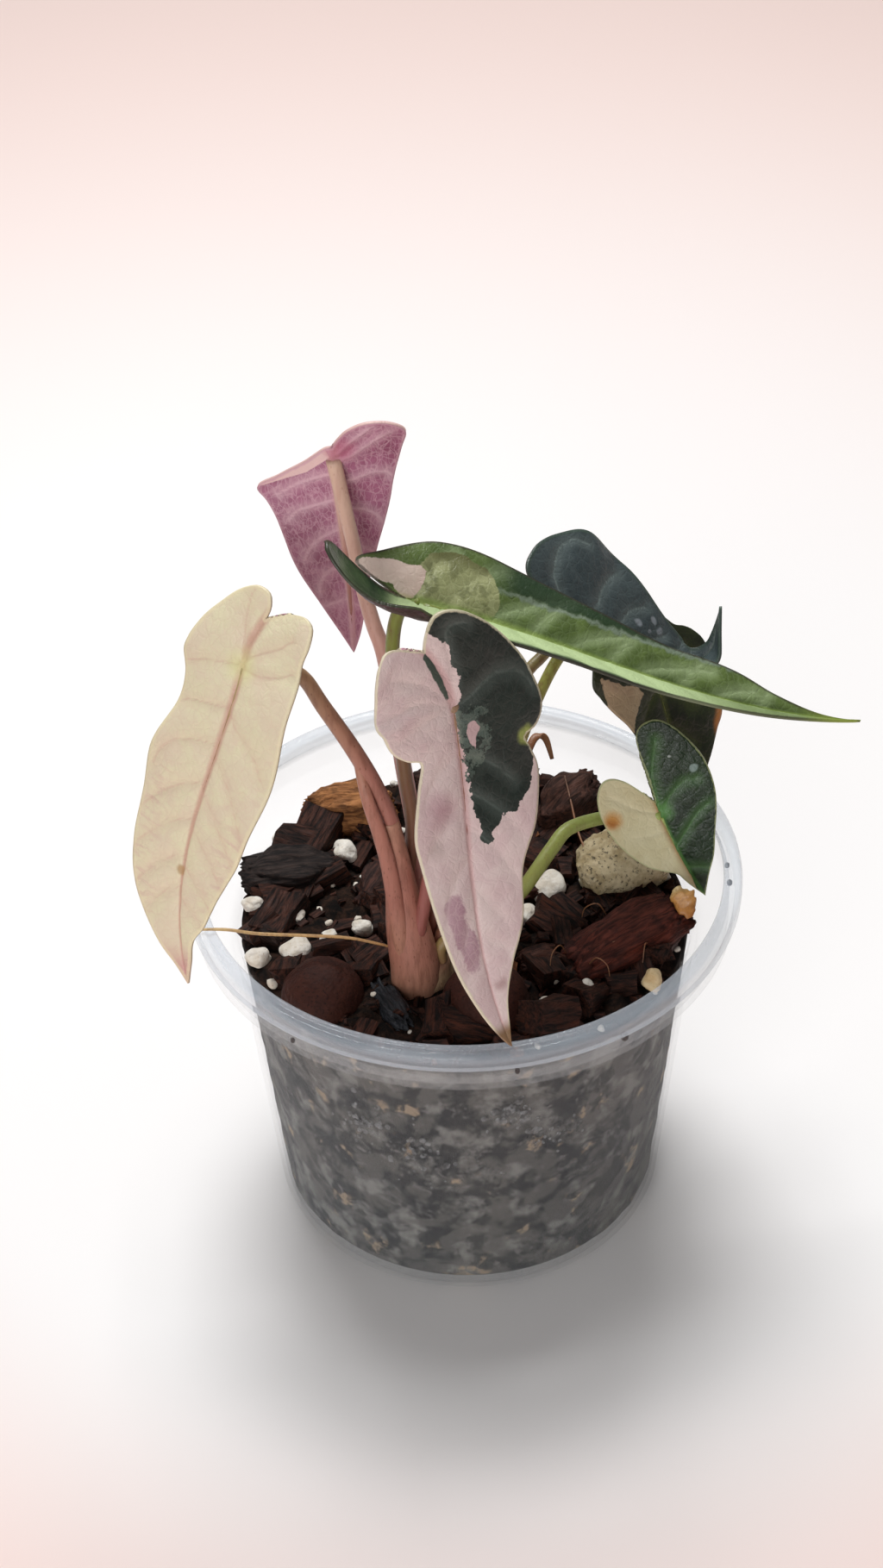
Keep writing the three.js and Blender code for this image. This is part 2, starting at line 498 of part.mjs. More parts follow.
// Rise and fall of the mix's top
function swell(x, y) {
  const a = Math.sin(x * 0.31 + 0.6) * Math.cos(y * 0.27 - 0.4);
  const b = Math.sin(x * 0.73 - y * 0.52 + 1.1);
  const c = Math.cos(x * 1.13 + y * 0.91);
  return MIX_SWELL * (0.7 * a + 0.5 * b + 0.3 * c);
}

// The mix: fills the tub to a bumpy top
function mixGeometry() {
  const p = [];
  const add = (r, z) => p.push(new THREE.Vector2(r, z));
  const inside = (z) => {
    const s = (z - CORNER_R) / (BODY_TOP_Z - 1.4 - CORNER_R);
    const top = BODY_TOP_R - 0.4 - WALL;
    return BODY_FOOT_R - WALL + (top - BODY_FOOT_R + WALL) * s - GAP - 0.15;
  };
  add(0, WALL + GAP);
  add(BODY_FOOT_R - CORNER_R - 1.2, WALL + GAP);
  add(BODY_FOOT_R - WALL - 1.3, CORNER_R * 0.3 + WALL + 0.5);
  add(inside(CORNER_R + 1.2), CORNER_R + 1.2);
  add(inside(30), 30);
  add(inside(58), 58);
  add(inside(59.8), 59.8);
  const out = inside(59.8) - 0.4;
  const rings = 8;
  for (let i = 0; i < rings; i++) add(out * (1 - i / rings), MIX_TOP);
  add(0, MIX_TOP);
  const g = new THREE.LatheGeometry(p, MIX_SIDES);
  g.rotateX(Math.PI / 2);
  const pos = g.attributes.position;
  for (let i = 0; i < pos.count; i++) {
    const z = pos.getZ(i);
    if (z < MIX_TOP - 0.01) continue;
    const r = Math.hypot(pos.getX(i), pos.getY(i));
    const fade = Math.min(1, Math.max(0, (out + 1 - r) / 3));
    pos.setZ(i, MIX_TOP + swell(pos.getX(i), pos.getY(i)) * fade - 0.9 * (1 - fade));
  }
  return g;
}

// The short stem base: wider at the mix, with a ring, and a blunt top that carries the stalks
function baseProfile(grow) {
  const rows = [
    [BASE_R * 0.7, BASE_FOOT],
    [BASE_R * 0.96, BASE_FOOT + 4],
    [BASE_R * 1.02, BASE_TOP - 4.4],
    [BASE_R * 1.06, BASE_TOP - 3.2],
    [BASE_R * 1.0, BASE_TOP - 2],
    [BASE_R * 0.96, BASE_TOP - 0.5],
    [BASE_R * 0.9, BASE_TOP],
  ];
  const p = [new THREE.Vector2(0, BASE_FOOT - grow)];
  for (const [r, z] of rows) p.push(new THREE.Vector2(r + grow, z === BASE_FOOT ? z - grow : z));
  if (grow > 0) p.push(new THREE.Vector2(BASE_R * 0.9 + grow, BASE_TOP + 6));
  p.push(new THREE.Vector2(0, grow > 0 ? BASE_TOP + 6 : BASE_TOP));
  const g = new THREE.LatheGeometry(p, 20);
  g.rotateX(Math.PI / 2);
  g.translate(BASE_AT[0], BASE_AT[1], 0);
  return g;
}

const plant = new THREE.Group();

function put(name, geometry, color, roughness) {
  const material = new THREE.MeshStandardMaterial({ color, roughness, metalness: 0 });
  const mesh = new THREE.Mesh(geometry, material);
  mesh.name = name;
  plant.add(mesh);
}

const tub = solidOf(tubGeometry());
let mix = solidOf(mixGeometry());
const pressed = [];
for (const chip of CHIPS) pressed.push(solidOf(chipGeometry(chip, POCKET)));
for (let k = 0; k < GRAINS.length; k++) pressed.push(solidOf(grainGeometry(k, POCKET)));
pressed.push(solidOf(baseProfile(POCKET)));
for (const piece of pressed) mix = mix.subtract(piece);
mix = mix.decompose().sort((a, b) => b.volume() - a.volume())[0];

put("tub", geometryOf(tub), 0xdfe3e6, 0.25);
put("potting_mix", geometryOf(mix), 0x2a201c, 0.95);
put("stem_base", geometryOf(solidOf(baseProfile(0))), 0x8f6a5a, 0.55);

for (const leaf of LEAVES) {
  const blade = solidOf(bladeGeometry(leaf));
  const stalk = solidOf(stalkGeometry(leaf.stalk, leaf.radius, STALK_SIDES, STALK_STEPS));
  put(leaf.name, geometryOf(blade.add(stalk)), leaf.color, 0.45);
}

for (const chip of CHIPS) put(chip.name, geometryOf(solidOf(chipGeometry(chip, 0))), chip.color, 0.85);
GRAINS.forEach((_, k) => {
  put("perlite_" + String(k + 1).padStart(2, "0"), geometryOf(solidOf(grainGeometry(k, 0))), 0xe6e0d4, 0.9);
});
const straw = stalkGeometry(STRAW, [STRAW_R, STRAW_R], 6, 14);
put("straw", geometryOf(solidOf(straw)), 0xb08b52, 0.7);

export default plant;
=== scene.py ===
"""Potted bambino alocasia: seven variegated leaves in a clear tub of bark and perlite mix."""
import math
import random

import bmesh
import bpy
import numpy as np
from mathutils import Matrix, Vector, noise


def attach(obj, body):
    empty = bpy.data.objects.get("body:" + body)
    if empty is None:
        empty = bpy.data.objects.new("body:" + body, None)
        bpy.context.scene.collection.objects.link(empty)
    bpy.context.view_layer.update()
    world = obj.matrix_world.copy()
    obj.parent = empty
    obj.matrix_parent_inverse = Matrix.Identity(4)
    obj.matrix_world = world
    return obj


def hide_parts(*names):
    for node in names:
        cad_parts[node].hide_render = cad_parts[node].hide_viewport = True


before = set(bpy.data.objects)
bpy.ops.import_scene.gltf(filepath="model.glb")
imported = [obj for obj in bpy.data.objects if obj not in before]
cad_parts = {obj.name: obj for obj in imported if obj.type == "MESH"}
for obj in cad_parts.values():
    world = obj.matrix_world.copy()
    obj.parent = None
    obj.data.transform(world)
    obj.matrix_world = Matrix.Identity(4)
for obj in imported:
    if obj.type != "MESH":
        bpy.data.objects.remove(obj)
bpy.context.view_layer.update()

MM = 0.001  # all sizes below are in millimetres

# Camera, standing where the photograph was taken from
CAMERA_AT = (-3.55, -426.21, 432.06)
CAMERA_RIGHT = (0.9997, -0.0165, -0.0206)
CAMERA_UP = (0.0264, 0.6242, 0.7808)
CAMERA_BACK = (0.0, -0.7811, 0.6244)
CAMERA_LENS = 71.25

# Tub
RIM_R = 50
RIM_TOP = 72.7
LIP_R = 46.6
COLLAR_R = 48.6
LEDGE_Z = 64.1
BODY_TOP_R = 42.4
BODY_TOP_Z = 61.6
BODY_FOOT_R = 36.3
CORNER_R = 2.2
WALL = 0.8

# Potting mix
MIX_TOP = 61.8
MIX_GAP = 0.45

# Blades
ALONG = 110
ACROSS = 26
BLADE = 0.55
FRAME_STEPS = 84
BACK_STEPS = 24
ROW_POWER = 1.8

STEM_AT = (-7.5, -17)

# Each leaf, as in the solid model, over these values of a straight one
STRAIGHT = {"roll": 0, "droop": [0, 0], "bend": [0, 0], "lobeBend": 0, "tipUp": [0, 0, 1], "lift": [0, 0]}
LEAVES = [
    {
        **STRAIGHT, "name": "leaf_cream",
        "at": [-35, -22, 134.5], "heading": -130, "pitch": -65, "length": 59.5, "back": 19,
        "droop": [15, 5], "bend": [-53, 107], "lobeBend": 52,
        "fold": [8, 8], "curl": [-10, -10], "wave": [0.5, 0.5], "notch": -9.2,
        "left": [[0, -9.2], [1.2, -11.2], [3, -15], [4.8, -17.6], [6.9, -18], [9.3, -14.7], [10.5, -8.9],
                 [11.8, -1], [11.9, 5], [12.3, 11], [12.6, 19.5], [11.8, 27], [10.4, 34.5], [6.5, 46.5],
                 [3, 51.5], [1.9, 55.5], [0, 59.5]],
        "right": [[0, -9.2], [0.6, -11.2], [2.4, -12.6], [4.9, -11.7], [6.7, -9.4], [8.3, -6.3],
                  [10.3, -2.9], [11.7, 1], [10.4, 6], [10.3, 12], [12.3, 21.3], [11.7, 30], [10.8, 38],
                  [9.4, 45.2], [5.1, 52], [1.8, 56], [0, 59.5]],
        "stalk": [[-34.9, -21.9, 134.4], [-30.3, -18.5, 131.8], [-26, -16.5, 127.9], [-22.8, -16, 121.2],
                  [-18.1, -16, 111.9], [-14.3, -16.3, 102.9], [-11.8, -16.8, 93.9], [-10.9, -17.4, 83],
                  [-10.9, -17.9, 70.5], [-10.9, -17.9, 66.35]],
        "radius": [1.15, 1.2, 1.25, 1.35, 1.45, 1.5, 1.5, 1.35, 1.15, 1.1],
    },
    {
        **STRAIGHT, "name": "leaf_mauve",
        "at": [-19.7, 0, 159.3], "heading": 81, "pitch": -70, "length": 45.4, "back": 16,
        "droop": [26, 5], "bend": [-4, 5], "fold": [10, 10], "curl": [5, 5],
        "wave": [0.4, 0.4], "notch": -3.2,
        "left": [[0, -3.2], [1.6, -2.2], [5.7, 2.8], [10.5, 7.4], [14.6, 10.8], [13.4, 13.8], [12.2, 18],
                 [11.2, 21.8], [8.7, 30], [4.8, 37], [2.2, 41.5], [0, 45.4]],
        "right": [[0, -3.2], [1.2, -5.2], [3, -7.2], [6, -8.6], [9.8, -8.2], [12.3, -5.8], [11.2, -1],
                  [9.6, 5], [8.4, 11], [6.8, 17], [4.8, 24], [3.4, 30], [1.6, 40], [0, 45.4]],
        "stalk": [[-19.7, 0.1, 159.2], [-18.4, -1, 152.1], [-17, -1.5, 143.5], [-15.7, -2.2, 135.1],
                  [-14.2, -3.5, 128.6], [-12.7, -4.6, 123.6], [-11.2, -6.5, 113.6], [-10.1, -8.2, 102.8],
                  [-8.5, -10, 89.8], [-8.1, -12.2, 79], [-8.4, -13.6, 70.5], [-8.4, -13.6, 66.35]],
        "radius": [1.05, 1, 1, 1.05, 1.1, 1.15, 1.2, 1.2, 1.2, 1.15, 1.1, 1.05],
    },
    {
        **STRAIGHT, "name": "leaf_green",
        "at": [-6.2, -12, 138.8], "heading": 7, "pitch": -22, "roll": -6, "length": 83, "back": 20,
        "droop": [35, -58],
        "fold": [46, [[-20, -54], [-10, -47], [-3, -32], [5, -14], [11, 2], [25, 4], [83, 4]]],
        "curl": [-14, [[-20, 100], [-10, 114], [-3, 108], [5, 62], [11, 20], [25, 16], [83, 16]]],
        "wave": [0.3, 0.3], "lift": [2, 11], "notch": -3,
        "left": [[0, -3], [1.8, -8], [4.2, -12.2], [7.4, -7.5], [10.3, -2], [11.5, 3], [11.3, 11],
                 [9.9, 21.5], [8, 33], [6.5, 45.5], [6.3, 53], [5.2, 60], [2.9, 67], [0.7, 75.5], [0, 83]],
        "right": [[0, -3], [0.4, -6], [0.4, -10], [0.8, -14], [2.4, -18.4], [5.4, -20.4], [8, -18],
                  [10, -11], [11.2, -4], [9.2, 4], [7.6, 14], [7.9, 26], [7.2, 38], [5.6, 50], [3.4, 62],
                  [1.4, 73], [0, 83]],
        "stalk": [[-6.2, -12, 138.7], [-8.4, -11.5, 138], [-9.9, -11.2, 136.3], [-10.9, -11, 131.3],
                  [-11.1, -11, 124.2], [-10.5, -11.6, 113.8], [-9.7, -12.6, 103.4], [-8.8, -13.6, 92.8],
                  [-10.4, -15, 78], [-10.5, -15.2, 70.5], [-10.5, -15.2, 66.35]],
        "radius": [1.05, 1.1, 1.15, 1.2, 1.2, 1.2, 1.2, 1.2, 1.15, 1.1, 1.05],
    },
    {
        **STRAIGHT, "name": "leaf_centre",
        "at": [-1.5, -27, 129], "heading": -57, "pitch": -74, "length": 58, "back": 19,
        "droop": [-40, 5], "bend": [-59, 70], "lobeBend": -52,
        "fold": [10, 10], "curl": [-12, -12], "wave": [0.4, 0.4], "notch": -11.5,
        "left": [[0, -11.5], [1.4, -12.8], [4, -14], [6.4, -13.8], [9.2, -11.2], [12.8, -5.1], [15.2, -0.6],
                 [16, 3.8], [14.4, 6.8], [12, 8], [13, 10], [14.5, 14], [12.8, 21], [9.6, 28], [8.4, 37],
                 [4.6, 45], [2.4, 50], [1, 55], [0, 58]],
        "right": [[0, -11.5], [1.3, -13.7], [2.4, -16.7], [3.9, -18.8], [6.6, -19], [10.2, -16.8],
                  [13, -11.1], [14.5, -4], [13.1, 3.6], [10.3, 6.7], [7.7, 8], [8.8, 12.8], [10.4, 20.6],
                  [9.3, 27], [6.6, 40.5], [3.6, 50], [1.3, 55.5], [0, 58]],
        "stalk": [[-1.5, -27, 129], [-1.8, -25.2, 125.8], [-2.8, -22, 116.2], [-4, -19.8, 103.5],
                  [-5.6, -19.4, 90.3], [-7.6, -20, 77.5], [-8.7, -20.3, 70.5], [-8.7, -20.3, 66.35]],
        "radius": [1.1, 1.15, 1.2, 1.2, 1.2, 1.2, 1.1, 1.05],
    },
    {
        **STRAIGHT, "name": "leaf_dark",
        "at": [18.9, 12, 119.9], "heading": 16, "pitch": -38, "roll": -5, "length": 43, "back": 16,
        "tipUp": [124, 27, 36.5], "fold": [42, 14], "curl": [-8, -8], "wave": [0.3, 0.3], "notch": -3.5,
        "left": [[0, -3.5], [2.2, -8.6], [4.6, -9.8], [7.6, -8.8], [10.4, -7], [13.6, -3.6], [16, 0.6],
                 [16.8, 4.6], [16.2, 9], [14.2, 13.2], [11, 17.5], [7.8, 22], [5.4, 26], [3, 30], [1.8, 34],
                 [0.7, 38.5], [0, 43]],
        "right": [[0, -3.5], [1.5, -8], [4, -10], [8, -8], [11, -4], [12.2, 1], [12, 7], [10.4, 13],
                  [8, 19], [5.8, 25], [5.2, 31], [4.4, 35.5], [2.1, 39.5], [0, 43]],
        "stalk": [[18.9, 12, 119.9], [17.8, 10, 117.3], [14.8, 6.5, 114.4], [11.8, 3.5, 112.9],
                  [7.7, 0.5, 107.6], [3.7, -3, 99.1], [0.2, -7, 90.9], [-3.4, -11, 81.1],
                  [-5.9, -13.9, 70.5], [-5.9, -13.9, 66.35]],
        "radius": [1, 1, 1.05, 1.05, 1.1, 1.15, 1.2, 1.2, 1.1, 1.05],
    },
    {
        **STRAIGHT, "name": "leaf_back",
        "at": [34.4, 25.5, 100.1], "heading": -58, "pitch": -61, "roll": -5, "length": 31, "back": 14,
        "fold": [10, 10], "curl": [-6, -6], "wave": [0.3, 0.3], "notch": -3,
        "left": [[0, -3], [1.5, -6.5], [4, -6], [6.4, -3.2], [8.3, -2.2], [10, -0.7], [11.4, 2], [12.2, 8],
                 [11.2, 15], [9.3, 18], [7.2, 21], [5, 24], [2.4, 27.8], [0, 31]],
        "right": [[0, -3], [2.5, -8], [7, -8.5], [11.5, -5], [14.8, 0.7], [13.4, 4.2], [11.5, 7.8],
                  [9.4, 11], [7.5, 15], [5.5, 20], [3.5, 24.5], [1.6, 28.2], [0, 31]],
        "stalk": [[34.4, 25.5, 100], [31.3, 24.5, 103.8], [26.4, 20.5, 108.5], [21.1, 15.5, 111],
                  [17.4, 11, 109.9], [13.9, 6.5, 105.5], [10.4, 2, 98.8], [6.3, -3.5, 89.8],
                  [1.4, -9.6, 80.4], [-4.2, -15.9, 70.5], [-4.2, -15.9, 66.35]],
        "radius": [0.95, 0.95, 1, 1, 1.05, 1.05, 1.1, 1.15, 1.15, 1.1, 1.05],
    },
    {
        **STRAIGHT, "name": "leaf_small",
        "at": [35.8, 6, 78], "heading": -42, "pitch": -61, "roll": 40, "length": 17.6, "back": 19,
        "bend": [12, 12], "fold": [12, 12], "curl": [-5, -5], "wave": [0, 0], "notch": -2.6,
        "left": [[0, -2.6], [0.6, -8], [0.7, -12], [1.2, -15.5], [2.9, -17.3], [5.8, -17.4], [8, -15.3],
                 [9.9, -11.6], [11.1, -7.5], [11.1, -2.5], [9.9, 2.2], [7.9, 6.6], [5.6, 11], [2.7, 14.4],
                 [0, 17.6]],
        "right": [[0, -2.6], [2, -6.2], [3.9, -8.9], [6, -10.4], [7.9, -10.2], [9.6, -8], [10.3, -4.4],
                  [9.8, -0.2], [8.4, 3.5], [6.4, 7], [4.3, 9.2], [2.2, 11.2], [1.3, 14], [0, 17.6]],
        "stalk": [[35.8, 6.2, 77.8], [30.8, 6.9, 77.5], [24.8, 5.8, 77.8], [18.9, 1.4, 79.2],
                  [15.7, -2.2, 77.6], [12.9, -5.6, 75.6], [9.6, -8.4, 72.6], [4.6, -12.6, 71.6],
                  [-0.6, -16.6, 71.8], [-4.3, -18.5, 69.8], [-4.3, -18.5, 66.35]],
        "radius": [1, 1.1, 1.2, 1.25, 1.3, 1.3, 1.3, 1.25, 1.2, 1.1, 1.05],
    },
]

# Main veins as (across, along) points; across is negative to the left of the midrib
VEINS = {
    "leaf_cream": [
        [(0.2, -0.5), (1.6, -4.5), (3.2, -7.8), (4.6, -10.4), (5.4, -14)],
        [(-0.2, -0.5), (-1.2, -2), (-3.5, -4.5), (-5.5, -7.5), (-6.6, -12)],
        [(-0.4, 0), (-1.5, 0.5), (-5.2, 0), (-8.2, -1.8), (-10, -5)],
        [(0.4, 0), (3, 0.6), (6.4, 1.5), (10.8, 3.4)],
        [(0.3, 7.6), (3, 8.6), (6.6, 9.6), (9.6, 11)],
        [(-0.5, 8.5), (-2, 10), (-4, 11), (-7.5, 12.6), (-10.8, 16)],
        [(0.3, 14.6), (4.4, 16), (7.8, 18), (10, 20.5), (11, 24.5)],
    ],
    "leaf_mauve": [
        [(-0.6, 10), (-3, 11.5), (-5.5, 13), (-8, 15), (-9.8, 18)],
        [(-0.5, 3.5), (-3, 5), (-7, 8), (-11, 11.5)],
        [(-0.5, 17), (-3, 19), (-6, 22.5), (-7.6, 26)],
        [(-1, 26), (-3.2, 27.4), (-4.8, 30), (-5.4, 33)],
        [(1.5, 5.4), (3.8, 4.6), (6, 3.8), (8.2, 4), (9.5, 5.5)],
        [(1, 0), (3, -1), (6, -3.5), (9.8, -6.4)],
        [(0.6, -1.6), (3.5, -5), (6.4, -7.6)],
        [(1.4, 12), (3.4, 12.4), (5.6, 14), (7, 17)],
        [(1.6, 20.6), (3.2, 21.5), (5, 22.8)],
    ],
    "leaf_green": [
        [(-0.3, 12.7), (-2.2, 14.6), (-4, 18), (-6.5, 21.5), (-7.8, 25)],
        [(-0.5, 41.5), (-2, 45), (-3.2, 49.5), (-4.2, 54.5)],
        [(-0.4, 28), (-2.2, 30), (-3.8, 33.5), (-5.4, 38)],
        [(-0.4, -1), (-2.2, -0.4), (-4.6, 0.4), (-7.6, 2.4), (-10, 5)],
        [(-0.3, 4.5), (-3.6, 6.5), (-7.4, 10), (-9.8, 14)],
        [(-0.4, 56), (-1.6, 59), (-2.6, 63)],
    ],
    "leaf_centre": [
        [(-0.6, 0.2), (-2.8, -0.4), (-5.4, -1.4), (-8, -2), (-10.3, -1.8), (-13.3, -0.8), (-15, 1.6)],
        [(-0.4, -1), (-1.8, -5), (-3.4, -9.5), (-5.4, -11.4), (-8.2, -10)],
        [(-0.6, 9), (-3, 9.6), (-6, 11.4), (-9.4, 14.6)],
        [(0.4, 0), (2.4, 0.3), (5, 0.5), (8.4, 1.4), (12, 2.6)],
        [(0.4, -0.6), (1.8, -3), (3.4, -6), (5.6, -10.4), (7.2, -14.4)],
        [(0.5, -0.2), (3.4, -2), (7.4, -4.6), (11.4, -5.4)],
        [(0.4, 8.5), (3, 9.4), (6, 12), (8.4, 16)],
        [(0.4, 16), (3, 18), (6, 21.4), (8.4, 25.4)],
        [(-0.5, 21), (-3, 23), (-6, 26.4), (-8.4, 30)],
        [(0.4, 26), (2.6, 28.4), (5, 32), (6.4, 36)],
        [(0.2, 34.6), (1.8, 36.6), (3.4, 40)],
        [(-0.4, 31), (-2.6, 33.4), (-5, 37)],
    ],
    "leaf_dark": [
        [(-0.6, 0.6), (-1.4, -1), (-3, -2.6), (-5.4, -3.6), (-8.6, -3.2), (-11.2, -2.4), (-13, -0.8),
         (-14, 1), (-14.2, 4)],
        [(-0.6, 3.4), (-2, 5.6), (-3.6, 6.9), (-7, 7.6), (-10, 9.6), (-11.8, 11.4)],
        [(-0.5, 12), (-2.2, 12.6), (-5.2, 14.4), (-7.4, 18)],
        [(-0.5, 19), (-2, 20.4), (-3.6, 23)],
    ],
    "leaf_back": [
        [(0.4, 0.4), (3, -1.5), (6.4, -3), (10, -2)],
        [(-0.4, 0.4), (-3, 0), (-6, 1), (-9, 3.4)],
        [(0.4, 7), (3, 8.4), (5.6, 11)],
        [(-0.4, 7), (-3, 9), (-6, 12.4)],
        [(0.4, 14), (2.4, 16), (4, 19)],
        [(-0.4, 14), (-2.4, 16), (-4.4, 19)],
    ],
    "leaf_small": [
        [(-0.3, -1), (-0.8, -4.5), (-1.4, -8), (-2.6, -10.6), (-4.4, -14)],
        [(-0.5, -0.6), (-2.4, -2.6), (-3.6, -3.5), (-6, -4.6), (-8.6, -4.4)],
        [(-0.4, 6.5), (-3, 4.5), (-6.3, 2), (-9, 0.8)],
        [(0.4, -0.6), (3, -2.4), (5.6, -5), (7.6, -7.6)],
        [(0.4, 3), (3, 2.6), (6, 1.6)],
    ],
}
# Where further side veins leave the midrib, to the left and to the right
SIDE_VEINS = {
    "leaf_cream": ([17, 24, 31, 38, 44], [22, 29, 36, 42]),
    "leaf_mauve": ([33], [28, 34]),
    "leaf_green": ([20, 35, 49, 64], [3, 10, 17, 25, 33, 41, 50]),
    "leaf_centre": ([14.5, 39], [42]),
    "leaf_dark": ([25, 29], [3, 9, 16, 22]),
    "leaf_back": ([20], [20]),
    "leaf_small": ([11], [7]),
}
# Patches of other colour, each a ring of (across, along) points
PATCHES = {
    "leaf_cream": {},
    "leaf_mauve": {
        "rolled": [(-0.4, -0.6), (-2.8, 2.2), (-5, 4.7), (-7.4, 6.4), (-9.8, 8), (-13.4, 10.2), (-17, 11),
                   (-12, 6), (-6, 0), (-2, -5)],
    },
    "leaf_green": {
        "cream": [(-4, -12.5), (-5.3, -9.8), (-6.3, -5.3), (-5.9, -3.8), (-6.3, -1), (-5.7, 0.3),
                  (-4, 0.2), (-2.2, -0.4), (-0.6, -1.5), (-0.2, -3), (-0.8, -4.3), (-2, -5.4), (-2, -8.5),
                  (-3, -11)],
        "lime": [(-6.2, -1), (-9, 0.8), (-10.3, 5), (-10, 7), (-9, 8.2), (-9, 10.5), (-7.8, 12),
                 (-5, 13.2), (-3, 13.6), (-1.2, 13), (0.2, 10.6), (0.4, 2), (-0.4, -1.4), (-2.2, -0.6),
                 (-4, 0)],
    },
    "leaf_centre": {
        "dark": [(-2.5, -14), (-3, -11.8), (-3.7, -9.5), (-2.2, -6.3), (-2.6, -5.4), (-2.6, -4),
                 (-1.8, -2.6), (-2, -1), (-0.9, 0.2), (-0.3, 2), (-0.4, 5.2), (-0.8, 9), (-1.3, 13),
                 (-1.2, 15.8), (-1.4, 18.2), (-2, 19.6), (-2.6, 20.6), (-2.5, 21.6), (-2.2, 22.8),
                 (-2.8, 23.6), (-4.4, 23.9), (-4.9, 23.2), (-3.9, 22.5), (-4.2, 22), (-5.3, 21),
                 (-6.2, 20), (-7.6, 19), (-9.5, 19.1), (-9.8, 18), (-10.9, 16.9), (-12.2, 16.2),
                 (-12.9, 14), (-13.6, 10.4), (-13.2, 8.4), (-18, 8), (-18, -10), (-10, -20), (-3, -18)],
        "grey": [(-0.3, 1), (-2.2, 0.9), (-4, 0.9), (-5.4, 2), (-5.8, 4.4), (-5.3, 8), (-4.5, 9.4),
                 (-3, 10.4), (-1.8, 12.4), (-0.8, 13), (-0.5, 5)],
        "fleck": [(-1.9, 3.6), (-3.2, 3.2), (-4, 4.8), (-3, 6), (-2.9, 8.2), (-2, 7), (-1.6, 5)],
        "strip": [(0.1, -11.4), (0.1, -9), (0.3, -6.8), (0.4, -4.6), (0.4, -1.8), (0.9, -1.2),
                  (1.4, -3.2), (1.7, -6.3), (1.5, -8.8), (1, -11)],
        "mauve": [(5.8, 32), (4.4, 31.4), (2.8, 31.5), (2.6, 33), (2, 34.2), (3, 35), (2, 36.6), (1, 38),
                  (0.4, 39.8), (0.9, 42.3), (1.5, 44), (3.6, 44.2), (4, 42.4), (4.3, 40.4), (5.4, 39.2),
                  (5.4, 37), (6, 35), (6.3, 33)],
    },
    "leaf_dark": {},
    "leaf_back": {
        "pink": [(14, -1), (8, 3), (5, 4.2), (3.8, 6.4), (6, 8.5), (7.5, 10.3), (8.6, 13), (12, 12)],
    },
    "leaf_small": {
        "cream": [(0.2, -14), (0.1, -6), (0.2, 0), (0.15, 8), (0.3, 13), (1, 18), (14, 16), (14, -16)],
    },
}


# A smooth line through listed points, at shares u of the list
def smooth_line(points, u):
    rows = np.asarray(points, float)
    last = len(rows) - 1
    f = np.clip(u, 0, 1) * last
    i = np.minimum(np.floor(f).astype(int), last - 1)
    t = (f - i)[:, None] if rows.ndim > 1 else f - i
    p0, p1, p2, p3 = (rows[np.clip(i + k, 0, last)] for k in (-1, 0, 1, 2))
    return 0.5 * (2 * p1 + (p2 - p0) * t + (2 * p0 - 5 * p1 + 4 * p2 - p3) * t ** 2
                  + (3 * p1 - p0 - 3 * p2 + p3) * t ** 3)


# Points at equal shares of the length of a margin, looked up at shares u
def margin_points(points, u):
    fine = smooth_line(points, np.linspace(0, 1, 401))
    run = np.concatenate([[0], np.cumsum(np.hypot(*np.diff(fine, axis=0).T))])
    return np.stack([np.interp(u * run[-1], run, fine[:, c]) for c in (0, 1)], 1)


# A leaf's midrib: how far along, place, direction and upward normal, from the lobes to the tip
def midrib(leaf):
    heading, pitch = math.radians(leaf["heading"]), math.radians(leaf["pitch"])
    ahead = Vector((math.cos(pitch) * math.cos(heading), math.cos(pitch) * math.sin(heading),
                    math.sin(pitch)))
    up = (Vector((0, 0, 1)) - ahead * ahead.z).normalized()
    up = Matrix.Rotation(math.radians(leaf["roll"]), 3, ahead) @ up
    length, back = leaf["length"], leaf["back"]
    rows = [(0, Vector(leaf["at"]), ahead.copy(), up.copy())]
    t, n, p = ahead.copy(), up.copy(), Vector(leaf["at"])
    for i in range(FRAME_STEPS):
        u = (i + 0.5) / FRAME_STEPS
        rise, begin, end = leaf["tipUp"]
        tip = rise * length / (end - begin) if begin < u * length < end else 0
        drop = leaf["droop"][0] + (leaf["droop"][1] - leaf["droop"][0]) * u - tip
        side = leaf["bend"][0] + (leaf["bend"][1] - leaf["bend"][0]) * u
        turn = Matrix.Rotation(math.radians(-drop) / FRAME_STEPS, 3, t.cross(n).normalized())
        t, n = turn @ t, turn @ n
        t = (Matrix.Rotation(math.radians(side) / FRAME_STEPS, 3, n) @ t).normalized()
        n = (n - t * n.dot(t)).normalized()
        p = p + t * (length / FRAME_STEPS)
        rows.append(((i + 1) * length / FRAME_STEPS, p.copy(), t.copy(), n.copy()))
    t, n, p = ahead.copy(), up.copy(), Vector(leaf["at"])
    for i in range(BACK_STEPS):
        t = (Matrix.Rotation(math.radians(-leaf["lobeBend"]) / BACK_STEPS, 3, n) @ t).normalized()
        p = p - t * (back / BACK_STEPS)
        rows.insert(0, (-(i + 1) * back / BACK_STEPS, p.copy(), t.copy(), n.copy()))
    return [np.array([row[k] for row in rows], float) for k in range(4)]


# Frames along a midrib at the places y: point, direction, normal and the way across
def rib_frames(rib, y):
    at, p, t, n = rib
    p, t, n = (np.stack([np.interp(y, at, part[:, c]) for c in range(3)], 1) for part in (p, t, n))
    t /= np.linalg.norm(t, axis=1)[:, None]
    n /= np.linalg.norm(n, axis=1)[:, None]
    return p, t, n, np.cross(t, n)


# A fold or curl, left and right, at the points (x, y) of a blade
def bend_at(pair, x, y):
    sides = [np.interp(y, *zip(*value)) if isinstance(value, list) else value for value in pair]
    return np.radians(np.where(x > 0, sides[1], sides[0]))


